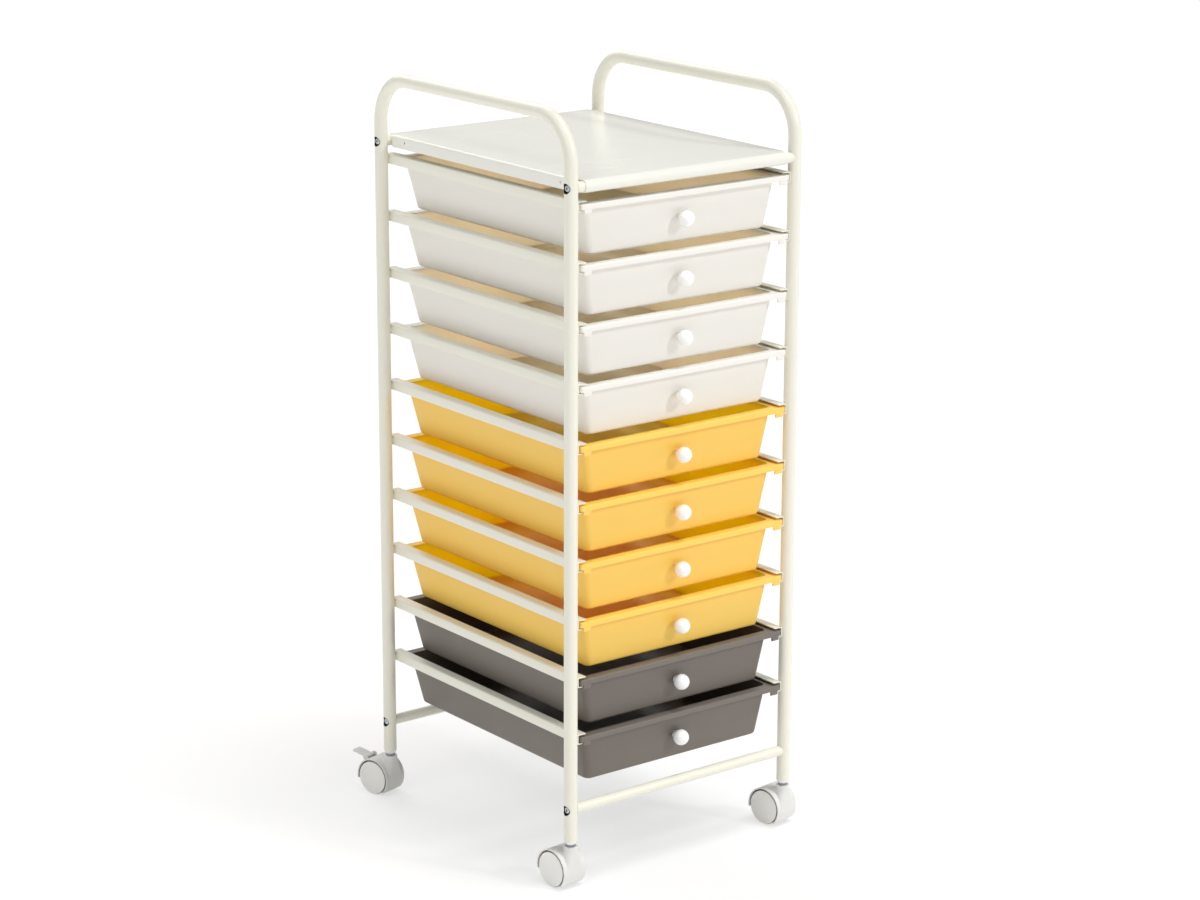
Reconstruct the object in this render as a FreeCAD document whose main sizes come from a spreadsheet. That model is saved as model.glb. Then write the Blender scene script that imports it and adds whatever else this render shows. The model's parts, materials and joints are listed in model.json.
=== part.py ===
"""Rolling drawer cart: bent side tubes, steel rails, top panel, ten sliding trays and four casters.

The frame stands on Z = 0 with its middle on the Z axis; X runs left to right, Y front to back.
"""

import FreeCAD
import Part
import Sketcher
import math
import os

DRAWER_COUNT = 10
SAME_PLACE = 1e-4
SIDES = {"left": -1, "right": 1}
ENDS = {"front": -1, "rear": 1}
CORNERS = [(end, side) for end in ENDS for side in SIDES]

# Driving dimensions in millimetres and degrees: name, value, what it measures
SIZES = (
    ("leg_spacing_x", 327.0, "leg axes, left to right"),
    ("leg_spacing_y", 376.0, "leg axes, front to rear"),
    ("tube_od", 16.0, "outer diameter of the side tubes"),
    ("tube_wall", 1.2, "wall of the side tubes"),
    ("bend_radius", 55.0, "handle bend, on the tube axis"),
    ("bar_od", 12.7, "outer diameter of the cross bars"),
    ("bar_wall", 1.2, "wall of the cross bars"),
    ("bar_plug", 14.0, "threaded plug in the end of a cross bar, past the leg"),
    ("handle_rise", 78.3, "upper cross bars up to the axis of the handle"),
    ("foot_length", 38.0, "leg end up to the lower cross bars"),
    ("bolt_d", 6.0, "shank of the frame bolts"),
    ("bolt_head_d", 10.5, "barrel head of the frame bolts"),
    ("bolt_sink", 2.0, "bolt head below the leg's outer face"),
    ("bolt_head_round", 0.6, "rounded edge of the bolt head"),
    ("bolt_reach", 10.0, "bolt past the leg, into the plug"),
    ("key_flats", 4.0, "hexagon recess across its flats"),
    ("key_depth", 2.2, "depth of the hexagon recess"),
    ("seat", 0.2, "gap between fixed pieces that lie against each other"),
    ("fit", 0.05, "radial clearance of pins and bolts in their bores"),
    ("run", 0.3, "clearance of pieces that slide past each other"),
    ("rail_drop", 15.9, "upper cross bars down to the top of the first rail"),
    ("rail_play", 2.5, "room above a tray's rim in the rail"),
    ("rail_top", 11.5, "width of a rail's upper flange"),
    ("rail_floor", 9.0, "width of a rail's lower flange"),
    ("rail_sheet", 1.2, "steel of the rails"),
    ("rail_overhang", 2.7, "rail end past the leg axis"),
    ("panel_sheet", 0.9, "steel of the top panel"),
    ("panel_flange", 14.5, "height of the turned-down sides"),
    ("panel_bend", 1.6, "inner radius where the sides turn down"),
    ("panel_side_gap", 2.5, "panel side to the legs"),
    ("panel_roll_cut", 5.5, "rolled edge shorter than the panel at each side"),
    ("panel_end_cut", 8.0, "turned-down side short of the bar axis"),
    ("panel_hole_d", 3.0, "hole in the turned-down side"),
    ("panel_hole_inset", 34.0, "hole from the bar axis"),
    ("panel_hole_drop", 7.0, "hole below the panel's upper face"),
    ("tray_rear_gap", 3.7, "rim short of the rail's rear end"),
    ("tray_depth", 62.6, "rim to the underside"),
    ("tray_gap", 7.2, "underside of a tray to the rim of the next"),
    ("low_tray_gap", 18.45, "lower cross bars to the lowest tray"),
    ("tray_wall", 2.2, "walls of a tray"),
    ("tray_floor", 2.2, "floor of a tray"),
    ("tray_corner", 9.0, "upright corners of a tray, outside"),
    ("tray_foot_round", 3.0, "rounded edge under a tray"),
    ("rim_sheet", 2.0, "thickness of the rim"),
    ("rim_corner", 3.0, "corners of the rim, seen from above"),
    ("rim_side_gap", 1.8, "rim edge to the rail's web"),
    ("rim_front", 11.0, "width of the rim at the front"),
    ("rim_side", 10.4, "width of the rim at the sides"),
    ("rim_rear", 10.0, "width of the rim at the rear"),
    ("lip_wall", 2.0, "thickness of the lip under the rim's edge"),
    ("lip_height", 6.0, "height of the front lip"),
    ("runner_height", 7.2, "height of the side lips that run on the rails"),
    ("runner_setback", 14.0, "start of the side lips behind the front"),
    ("front_taper", 6.0, "front wall leans in, rim to floor"),
    ("side_taper", 11.0, "side walls lean in, rim to floor"),
    ("rear_taper", 11.5, "rear wall leans in, rim to floor"),
    ("tab_width", 10.5, "stop tab at a front corner"),
    ("tab_drop", 5.0, "stop tab below the lip"),
    ("tab_inset", 4.0, "stop tab from the end of the rim"),
    ("knob_d", 19.0, "diameter of the ball knob"),
    ("knob_standoff", 11.0, "middle of the knob from the wall"),
    ("knob_neck_d", 9.0, "neck of the knob"),
    ("knob_drop", 33.0, "rim down to the knob, on the front wall"),
    ("screw_d", 4.0, "shank of the knob screw"),
    ("screw_head_d", 8.0, "head of the knob screw"),
    ("screw_head_height", 2.6, "height of the screw head"),
    ("screw_reach", 9.0, "screw in front of the wall"),
    ("screw_slot", 1.2, "width of the driver slot"),
    ("screw_play", 0.5, "screw hole wider than the screw, on the radius"),
    ("wheel_d", 43.6, "diameter of a wheel"),
    ("wheel_width", 14.0, "width of a wheel"),
    ("wheel_round", 1.6, "bevelled edges of a wheel"),
    ("wheel_gap", 0.5, "wheel to the middle web"),
    ("axle_d", 6.0, "axle of a caster"),
    ("axle_reach", 10.0, "axle bore into a wheel"),
    ("trail", 16.5, "axle behind the swivel axis"),
    ("web", 5.0, "middle web of the hood"),
    ("hood_wall", 1.6, "wall of the hood over the wheels"),
    ("hood_gap", 1.1, "wheel to the hood"),
    ("hood_foot", 4.5, "lower edge of the hood above the floor, front"),
    ("hood_tail", 17.0, "lower edge of the hood above the floor, rear"),
    ("hood_tail_start", 9.0, "rear cut-out of the hood behind the axle"),
    ("hood_corner", 6.0, "upright corners of the hood"),
    ("neck_d", 17.0, "neck of the hood"),
    ("neck_straight", 6.0, "straight part of the neck"),
    ("neck_rise", 5.9, "top of the neck above the hood"),
    ("swivel_gap", 3.3, "neck to the collar on the leg"),
    ("collar_height", 4.0, "collar under the leg end"),
    ("collar_foot_d", 13.0, "lower end of the collar"),
    ("socket_depth", 26.0, "socket inside the leg"),
    ("stem_d", 8.0, "caster stem"),
    ("stem_ring_d", 11.5, "ring on the stem in the swivel gap"),
    ("stem_floor", 0.9, "end of the stem above the wheel wells"),
    ("front_left_yaw", 4.5, "caster turned about its stem, degrees"),
    ("front_right_yaw", 8.0, "caster turned about its stem, degrees"),
    ("rear_left_yaw", 15.0, "caster turned about its stem, degrees"),
    ("rear_right_yaw", 9.0, "caster turned about its stem, degrees"),
    ("lever_pivot_rise", 50.0, "brake pivot above the axle's level, degrees"),
    ("lever_pivot_out", 3.1, "brake pivot outside the hood"),
    ("lever_length", 23.5, "brake pivot to the end of the lever"),
    ("lever_width", 13.0, "width of the brake lever"),
    ("lever_sheet", 3.0, "thickness of the brake lever"),
    ("lever_hub_d", 5.2, "hub of the brake lever"),
    ("lever_pin_d", 2.8, "pins of the brake lever"),
    ("lever_rise", 9.0, "lever above level when released, degrees"),
    ("lever_travel", 20.0, "lever pressed down, degrees"),
    ("ear_wall", 2.5, "ears that hold the brake lever"),
    ("ear_d", 7.6, "ears, outer diameter"),
    ("window_margin", 0.4, "window under the brake lever, past its ears"),
)

doc = FreeCAD.newDocument("DrawerCart")


def fill_sheet():
    """The spreadsheet of driving dimensions, one aliased cell for each."""
    cells = doc.addObject("Spreadsheet::Sheet", "Sizes")
    for row, (name, size, meaning) in enumerate(SIZES, start=1):
        cells.set(f"A{row}", name)
        cells.set(f"B{row}", str(size))
        cells.setAlias(f"B{row}", name)
        cells.set(f"C{row}", meaning)
    doc.recompute()
    return cells


sheet = fill_sheet()

# Places worked out from the driving dimensions, as expressions
HALF_X = "Sizes.leg_spacing_x / 2"
HALF_Y = "Sizes.leg_spacing_y / 2"
TUBE_R = "Sizes.tube_od / 2"
BAR_R = "Sizes.bar_od / 2"
WHEEL_R = "Sizes.wheel_d / 2"
WELL_R = f"({WHEEL_R} + Sizes.hood_gap)"
HOOD_R = f"({WELL_R} + Sizes.hood_wall)"
HOOD_HALF = "(Sizes.web / 2 + Sizes.wheel_gap + Sizes.wheel_width)"
NECK_TOP = f"({WHEEL_R} + {HOOD_R} + Sizes.neck_rise)"
STEM_FOOT = f"({WHEEL_R} + sqrt({WELL_R} ^ 2 - (Sizes.trail - Sizes.stem_d / 2) ^ 2) + Sizes.stem_floor)"
PIVOT_OUT = f"({HOOD_R} + Sizes.lever_pivot_out)"
EAR_IN = "(Sizes.lever_width / 2 + Sizes.run)"
EAR_OUT = f"({EAR_IN} + Sizes.ear_wall)"
COLLAR_FOOT = f"({NECK_TOP} + Sizes.swivel_gap)"
LEG_END = f"({COLLAR_FOOT} + Sizes.collar_height)"
LOW_BAR_Z = f"({LEG_END} + Sizes.foot_length)"
LOW_RIM_Z = f"({LOW_BAR_Z} + {BAR_R} + Sizes.low_tray_gap + Sizes.tray_depth)"
PITCH = "(Sizes.tray_depth + Sizes.tray_gap)"
RIM_TOP_Z = f"({LOW_RIM_Z} + {DRAWER_COUNT - 1} * {PITCH})"
RAIL_TOP = f"({RIM_TOP_Z} + Sizes.rail_play + Sizes.rail_sheet)"
RAIL_FOOT = f"({RIM_TOP_Z} - Sizes.runner_height - Sizes.run - Sizes.rail_sheet)"
RAIL_OUT = f"({HALF_X} - {TUBE_R} - Sizes.seat)"
RAIL_LENGTH = "(Sizes.leg_spacing_y + 2 * Sizes.rail_overhang)"
TOP_BAR_Z = f"({RAIL_TOP} + Sizes.rail_drop)"
BAR_Z = {"top": TOP_BAR_Z, "bottom": LOW_BAR_Z}
HANDLE_Z = f"({TOP_BAR_Z} + Sizes.handle_rise)"
PANEL_TOP = f"({TOP_BAR_Z} + {BAR_R} + Sizes.seat + Sizes.panel_sheet)"
PANEL_HALF = f"({HALF_X} - {TUBE_R} - Sizes.panel_side_gap)"
RIM_HALF = f"({RAIL_OUT} - Sizes.rail_sheet - Sizes.rim_side_gap)"
RIM_FRONT_Y = f"(-{RAIL_LENGTH} / 2 - Sizes.run - Sizes.lip_wall)"
TRAY_LENGTH = f"({RAIL_LENGTH} + Sizes.run + Sizes.lip_wall - Sizes.tray_rear_gap)"


def num(expression):
    """The present value of an expression on the sheet."""
    result = sheet.evalExpression(expression)
    return float(getattr(result, "Value", result))


def new_body(label):
    """An empty body with its own label."""
    body = doc.addObject("PartDesign::Body", label)
    body.Label = label
    return body


def copy_of(label, source):
    """A body with the same shape as another one."""
    body = new_body(label)
    base = body.newObject("PartDesign::FeatureBase", f"{label}_shape")
    base.BaseFeature = source
    body.Tip = base
    return body


def group(label, members):
    """Identical pieces under one label, each a solid of its own."""
    compound = doc.addObject("Part::Compound", label)
    compound.Label = label
    compound.Links = members
    return compound


def place(body, x="0", y="0", z="0", turn=None, axis=FreeCAD.Vector(0, 0, 1)):
    """Bind a body's place, and its turn in degrees about an axis through it."""
    if turn is not None:
        body.Placement = FreeCAD.Placement(FreeCAD.Vector(), FreeCAD.Rotation(axis, num(turn)))
        body.setExpression("Placement.Rotation.Angle", f"({turn}) * 1 deg")
    for letter, expression in zip("xyz", (x, y, z)):
        body.setExpression(f"Placement.Base.{letter}", f"({expression}) * 1 mm")


def origin_plane(body, role):
    """One of the body's own origin planes."""
    return next(item for item in body.Origin.OriginFeatures if item.Role == role)


def attach(feature, body, role, offset):
    """Lay a sketch or a primitive on an origin plane, moved along the plane's normal."""
    feature.AttachmentSupport = [(origin_plane(body, role), "")]
    feature.MapMode = "FlatFace"
    feature.setExpression("AttachmentOffset.Base.z", f"({offset}) * 1 mm")
    return feature


def sketch_on(body, role, name, offset="0"):
    """An empty sketch of the body on one of its origin planes."""
    return attach(body.newObject("Sketcher::SketchObject", name), body, role, offset)


def dimension(sketch, expression, kind, *where):
    """One dimension of a sketch, bound to an expression."""
    index = sketch.addConstraint(Sketcher.Constraint(kind, *where, num(expression)))
    sketch.setExpression(f"Constraints[{index}]", f"({expression}) * 1 mm")


def pin(sketch, edge, point, x, y):
    """Hold a point of the sketch at a place given from the sketch's origin."""
    dimension(sketch, x, "DistanceX", -1, 1, edge, point)
    dimension(sketch, y, "DistanceY", -1, 1, edge, point)


def circle(sketch, x, y, radius):
    """A circle."""
    middle = FreeCAD.Vector(num(x), num(y), 0)
    edge = sketch.addGeometry(Part.Circle(middle, FreeCAD.Vector(0, 0, 1), num(radius)))
    pin(sketch, edge, 3, x, y)
    dimension(sketch, radius, "Radius", edge)


def polygon(sketch, corners):
    """A closed outline of straight edges through the corners."""
    points = [FreeCAD.Vector(num(x), num(y), 0) for x, y in corners]
    following = points[1:] + points[:1]
    edges = [sketch.addGeometry(Part.LineSegment(a, b)) for a, b in zip(points, following)]
    for edge, after in zip(edges, edges[1:] + edges[:1]):
        sketch.addConstraint(Sketcher.Constraint("Coincident", edge, 2, after, 1))
    for edge, (x, y) in zip(edges, corners):
        pin(sketch, edge, 1, x, y)


def rectangle(sketch, x0, x1, y0, y1):
    """A rectangle with sharp corners."""
    polygon(sketch, [(x0, y0), (x1, y0), (x1, y1), (x0, y1)])


def tangent_chain(sketch, edges, closed):
    """Join lines and arcs end to end, each running smoothly into the next."""
    pairs = list(zip(edges, edges[1:]))
    if closed:
        pairs.append((edges[-1], edges[0]))
    for edge, after in pairs:
        sketch.addConstraint(Sketcher.Constraint("Tangent", edge, 2, after, 1))


def quarter_arc(sketch, middle, start, radius):
    """A quarter circle, counter-clockwise from the start angle in degrees."""
    ring = Part.Circle(FreeCAD.Vector(*middle), FreeCAD.Vector(0, 0, 1), radius)
    return sketch.addGeometry(Part.ArcOfCircle(ring, math.radians(start), math.radians(start + 90)))


def line(sketch, start, end):
    """A straight edge of the sketch."""
    return sketch.addGeometry(Part.LineSegment(FreeCAD.Vector(*start), FreeCAD.Vector(*end)))


def rounded_rectangle(sketch, x0, x1, y0, y1, radius):
    """A rectangle with equal round corners, counter-clockwise from its front edge."""
    left, right, front, rear, r = (num(size) for size in (x0, x1, y0, y1, radius))
    sides = (
        ((left + r, front), (right - r, front), (right - r, front + r), -90),
        ((right, front + r), (right, rear - r), (right - r, rear - r), 0),
        ((right - r, rear), (left + r, rear), (left + r, rear - r), 90),
        ((left, rear - r), (left, front + r), (left + r, front + r), 180),
    )
    edges = []
    for start, end, middle, angle in sides:
        edges.append(line(sketch, start, end))
        edges.append(quarter_arc(sketch, middle, angle, r))
    tangent_chain(sketch, edges, closed=True)
    for edge, kind in zip(edges[::2], ("Horizontal", "Vertical", "Horizontal", "Vertical")):
        sketch.addConstraint(Sketcher.Constraint(kind, edge))
    for arc in edges[3::2]:
        sketch.addConstraint(Sketcher.Constraint("Equal", edges[1], arc))
    dimension(sketch, radius, "Radius", edges[1])
    dimension(sketch, y0, "DistanceY", -1, 1, edges[0], 1)
    dimension(sketch, x1, "DistanceX", -1, 1, edges[2], 1)
    dimension(sketch, y1, "DistanceY", -1, 1, edges[4], 1)
    dimension(sketch, x0, "DistanceX", -1, 1, edges[6], 1)


def extrude(body, kind, sketch, length=None, side="One side", reverse=False):
    """A pad or a pocket of a sketch; without a length it goes right through."""
    feature = body.newObject(f"PartDesign::{kind}", f"{sketch.Name}_{kind.lower()}")
    feature.Profile = sketch
    feature.SideType = side
    feature.Reversed = reverse
    if length is None:
        feature.Type = "ThroughAll"
    else:
        feature.setExpression("Length", f"({length}) * 1 mm")
    return feature


def revolve(body, sketch, axis):
    """A full turn of a sketch about one of its own axes."""
    feature = body.newObject("PartDesign::Revolution", f"{sketch.Name}_turned")
    feature.Profile = sketch
    feature.ReferenceAxis = (sketch, [axis])
    feature.Angle = 360
    return feature


def loft(body, kind, first, last):
    """Straight walls from one sketch to another."""
    feature = body.newObject(f"PartDesign::{kind}", f"{first.Name}_walls")
    feature.Profile = first
    feature.Sections = [last]
    feature.Ruled = True
    return feature


def primitive(body, kind, name, role, offset, **sizes):
    """A primitive of the body, standing on an origin plane."""
    feature = attach(body.newObject(f"PartDesign::{kind}", name), body, role, offset)
    for size, expression in sizes.items():
        feature.setExpression(size, f"({expression}) * 1 mm")
    return feature


def lies_at(edge, **coordinates):
    """Whether the ends and the middle of an edge lie at the given x, y or z, on either side of zero."""
    middle = edge.valueAt((edge.FirstParameter + edge.LastParameter) / 2)
    points = [vertex.Point for vertex in edge.Vertexes] + [middle]
    return all(
        abs(abs(getattr(point, letter)) - abs(target)) < SAME_PLACE
        for point in points for letter, target in coordinates.items()
    )


def round_edges(body, name, radius, **coordinates):
    """Round the edges of the body's last feature that lie at the given coordinates."""
    doc.recompute()
    last = body.Tip
    edges = enumerate(last.Shape.Edges, start=1)
    names = [f"Edge{index}" for index, edge in edges if lies_at(edge, **coordinates)]
    fillet = body.newObject("PartDesign::Fillet", name)
    fillet.Base = (last, names)
    fillet.setExpression("Radius", f"({radius}) * 1 mm")
    return fillet


# Frame

def side_tube(label, side):
    """Two legs and the handle between them, one bent tube with holes for the bolts and their heads."""
    body = new_body(label)
    half, foot, top, bend = (num(size) for size in (HALF_Y, LEG_END, HANDLE_Z, "Sizes.bend_radius"))
    path = sketch_on(body, "YZ_Plane", f"{label}_path")
    rear_leg = line(path, (half, foot), (half, top - bend))
    rear_bend = quarter_arc(path, (half - bend, top - bend), 0, bend)
    handle = line(path, (half - bend, top), (bend - half, top))
    front_bend = quarter_arc(path, (bend - half, top - bend), 90, bend)
    front_leg = line(path, (-half, top - bend), (-half, foot))
    run = [rear_leg, rear_bend, handle, front_bend, front_leg]
    tangent_chain(path, run, closed=False)
    path.addConstraint(Sketcher.Constraint("Horizontal", handle))
    path.addConstraint(Sketcher.Constraint("Vertical", rear_leg))
    path.addConstraint(Sketcher.Constraint("Vertical", front_leg))
    path.addConstraint(Sketcher.Constraint("Equal", rear_bend, front_bend))
    dimension(path, "Sizes.bend_radius", "Radius", rear_bend)
    dimension(path, HANDLE_Z, "DistanceY", -1, 1, handle, 1)
    pin(path, rear_leg, 1, HALF_Y, LEG_END)
    pin(path, front_leg, 2, f"-{HALF_Y}", LEG_END)
    section = sketch_on(body, "XY_Plane", f"{label}_section", LEG_END)
    circle(section, "0", HALF_Y, TUBE_R)
    circle(section, "0", HALF_Y, f"{TUBE_R} - Sizes.tube_wall")
    pipe = body.newObject("PartDesign::AdditivePipe", f"{label}_bent")
    pipe.Profile = section
    pipe.Spine = (path, [f"Edge{index}" for index in range(1, len(run) + 1)])
    holes = sketch_on(body, "YZ_Plane", f"{label}_bolt_holes")
    mouths = sketch_on(body, "YZ_Plane", f"{label}_head_holes")
    for end in ENDS.values():
        for height in BAR_Z.values():
            circle(holes, f"{end} * {HALF_Y}", height, "Sizes.bolt_d / 2 + Sizes.fit")
            circle(mouths, f"{end} * {HALF_Y}", height, "Sizes.bolt_head_d / 2 + Sizes.fit")
    extrude(body, "Pocket", holes, side="Symmetric")
    extrude(body, "Pocket", mouths, reverse=side > 0)
    place(body, x=f"{side} * {HALF_X}")
    return body


def drawer_rails(label):
    """Ten C-shaped rails of one side, open to the middle of the cart."""
    body = new_body(label)
    web = f"-{RAIL_OUT}"
    section = sketch_on(body, "XZ_Plane", f"{label}_section")
    polygon(section, [
        (web, RAIL_FOOT),
        (f"{web} + Sizes.rail_floor", RAIL_FOOT),
        (f"{web} + Sizes.rail_floor", f"{RAIL_FOOT} + Sizes.rail_sheet"),
        (f"{web} + Sizes.rail_sheet", f"{RAIL_FOOT} + Sizes.rail_sheet"),
        (f"{web} + Sizes.rail_sheet", f"{RAIL_TOP} - Sizes.rail_sheet"),
        (f"{web} + Sizes.rail_top", f"{RAIL_TOP} - Sizes.rail_sheet"),
        (f"{web} + Sizes.rail_top", RAIL_TOP),
        (web, RAIL_TOP),
    ])
    rail = extrude(body, "Pad", section, RAIL_LENGTH, side="Symmetric")
    ladder = body.newObject("PartDesign::LinearPattern", f"{label}_ladder")
    ladder.Originals = [rail]
    ladder.Direction = (section, ["V_Axis"])
    ladder.Reversed = True
    ladder.Mode = "Spacing"
    ladder.Occurrences = DRAWER_COUNT
    ladder.setExpression("Offset", f"{PITCH} * 1 mm")
    body.Tip = ladder
    return body


def top_panel(label):
    """Steel panel, rolled round the upper cross bars, with its sides turned down."""
    body = new_body(label)
    under = f"({PANEL_TOP} - Sizes.panel_sheet)"
    hem = f"({PANEL_TOP} - Sizes.panel_flange)"
    inner = f"({PANEL_HALF} - Sizes.panel_sheet)"
    roll_length = f"2 * ({PANEL_HALF} - Sizes.panel_roll_cut)"
    sides = sketch_on(body, "XZ_Plane", f"{label}_sides")
    polygon(sides, [
        (f"-{PANEL_HALF}", PANEL_TOP), (f"-{PANEL_HALF}", hem), (f"-{inner}", hem), (f"-{inner}", under),
        (inner, under), (inner, hem), (PANEL_HALF, hem), (PANEL_HALF, PANEL_TOP),
    ])
    extrude(body, "Pad", sides, f"2 * ({HALF_Y} - Sizes.panel_end_cut)", side="Symmetric")
    round_edges(body, f"{label}_outer_bend", "Sizes.panel_bend + Sizes.panel_sheet",
                x=num(PANEL_HALF), z=num(PANEL_TOP))
    round_edges(body, f"{label}_inner_bend", "Sizes.panel_bend", x=num(inner), z=num(under))
    flat = sketch_on(body, "YZ_Plane", f"{label}_flat")
    rectangle(flat, f"-{HALF_Y}", HALF_Y, under, PANEL_TOP)
    extrude(body, "Pad", flat, roll_length, side="Symmetric")
    rolls = sketch_on(body, "YZ_Plane", f"{label}_rolls")
    for end in ENDS.values():
        circle(rolls, f"{end} * {HALF_Y}", TOP_BAR_Z, f"{BAR_R} + Sizes.seat")
        circle(rolls, f"{end} * {HALF_Y}", TOP_BAR_Z, f"{BAR_R} + Sizes.seat + Sizes.panel_sheet")
    extrude(body, "Pad", rolls, roll_length, side="Symmetric")
    holes = sketch_on(body, "YZ_Plane", f"{label}_holes")
    for end in ENDS.values():
        circle(holes, f"{end} * ({HALF_Y} - Sizes.panel_hole_inset)",
               f"{PANEL_TOP} - Sizes.panel_hole_drop", "Sizes.panel_hole_d / 2")
    extrude(body, "Pocket", holes, side="Symmetric")
    return body


def cross_bar(label):
    """Tube across the cart with a threaded plug in each end, coped to the legs."""
    body = new_body(label)
    bore, hollow = "Sizes.bolt_d / 2 + Sizes.fit", f"{BAR_R} - Sizes.bar_wall"
    plug = f"({HALF_X} - {TUBE_R} - Sizes.bar_plug)"
    section = sketch_on(body, "XY_Plane", f"{label}_section")
    polygon(section, [
        (f"-{HALF_X}", bore), (f"-{HALF_X}", BAR_R), (HALF_X, BAR_R), (HALF_X, bore),
        (plug, bore), (plug, hollow), (f"-{plug}", hollow), (f"-{plug}", bore),
    ])
    revolve(body, section, "H_Axis")
    copes = sketch_on(body, "XY_Plane", f"{label}_copes")
    for side in SIDES.values():
        circle(copes, f"{side} * {HALF_X}", "0", f"{TUBE_R} + Sizes.seat")
    extrude(body, "Pocket", copes, side="Symmetric")
    return body


def cross_bars():
    """Four bars: upper and lower, front and rear."""
    bars = []
    for level, height in BAR_Z.items():
        for end, sign in ENDS.items():
            label = f"{level}_{end}_bar"
            bar = copy_of(label, bars[0]) if bars else cross_bar(label)
            place(bar, y=f"{sign} * {HALF_Y}", z=height)
            bars.append(bar)
    return bars


def frame_bolt(label):
    """Bolt with a long round head that bears on the leg's inner wall, and a hexagon recess to the left."""
    body = new_body(label)
    crown = f"(Sizes.bolt_sink - {TUBE_R})"
    inner_wall = f"sqrt(({TUBE_R} - Sizes.tube_wall) ^ 2 - (Sizes.bolt_head_d / 2) ^ 2)"
    under = f"({inner_wall} - Sizes.seat)"
    tip = f"({TUBE_R} + Sizes.bolt_reach)"
    section = sketch_on(body, "XY_Plane", f"{label}_section")
    polygon(section, [
        (crown, "0"), (tip, "0"), (tip, "Sizes.bolt_d / 2"), (under, "Sizes.bolt_d / 2"),
        (under, "Sizes.bolt_head_d / 2"), (crown, "Sizes.bolt_head_d / 2"),
    ])
    revolve(body, section, "H_Axis")
    round_edges(body, f"{label}_crown", "Sizes.bolt_head_round", x=num(crown))
    recess = sketch_on(body, "YZ_Plane", f"{label}_recess", crown)
    point = "Sizes.key_flats / sqrt(3)"
    polygon(recess, [
        (f"{point} * cos({turn} deg)", f"{point} * sin({turn} deg)") for turn in range(0, 360, 60)
    ])
    extrude(body, "Pocket", recess, "Sizes.key_depth", reverse=True)
    return body


def frame_bolts(label):
    """One bolt through every leg at each cross bar."""
    bolts = []
    for level, height in BAR_Z.items():
        for end, side in CORNERS:
            name = f"bolt_{level}_{end}_{side}"
            bolt = copy_of(name, bolts[0]) if bolts else frame_bolt(name)
            half_turn = "180" if side == "right" else "0"
            place(bolt, f"{SIDES[side]} * {HALF_X}", f"{ENDS[end]} * {HALF_Y}", height, turn=half_turn)
            bolts.append(bolt)
    return group(label, bolts)


def one_per_leg(label, make):
    """Four equal pieces under the legs, in one group."""
    pieces = []
    for end, side in CORNERS:
        name = f"{label}_{end}_{side}"
        piece = copy_of(name, pieces[0]) if pieces else make(name)
        place(piece, f"{SIDES[side]} * {HALF_X}", f"{ENDS[end]} * {HALF_Y}")
        pieces.append(piece)
    return group(label, pieces)


def leg_socket(label):
    """Plug in the leg end with a collar under it and a bore for the caster stem."""
    body = new_body(label)
    bore, plug = "Sizes.stem_d / 2 + Sizes.fit", f"{TUBE_R} - Sizes.tube_wall - Sizes.fit"
    lower, upper = COLLAR_FOOT, f"{LEG_END} + Sizes.socket_depth"
    section = sketch_on(body, "XZ_Plane", f"{label}_section")
    polygon(section, [
        (bore, lower), ("Sizes.collar_foot_d / 2", lower), (TUBE_R, LEG_END), (plug, LEG_END),
        (plug, upper), (bore, upper),
    ])
    revolve(body, section, "V_Axis")
    return body


def caster_stem(label):
    """Steel pin with a ring in the swivel gap."""
    body = new_body(label)
    shank, ring = "Sizes.stem_d / 2", "Sizes.stem_ring_d / 2"
    upper = f"{LEG_END} + Sizes.socket_depth"
    ring_lower = f"{NECK_TOP} + Sizes.run"
    section = sketch_on(body, "XZ_Plane", f"{label}_section")
    polygon(section, [
        ("0", STEM_FOOT), (shank, STEM_FOOT), (shank, ring_lower), (ring, ring_lower),
        (ring, COLLAR_FOOT), (shank, COLLAR_FOOT), (shank, upper), ("0", upper),
    ])
    revolve(body, section, "V_Axis")
    return body


# Casters, each drawn about its swivel axis with the wheels behind it

def polar(out, across="0"):
    """A place in the caster's side view: out from the axle towards the brake pivot, and across that."""
    rise = "(Sizes.lever_pivot_rise * 1 deg)"
    return (f"Sizes.trail + ({out}) * cos{rise} - ({across}) * sin{rise}",
            f"{WHEEL_R} + ({out}) * sin{rise} + ({across}) * cos{rise}")


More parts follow.
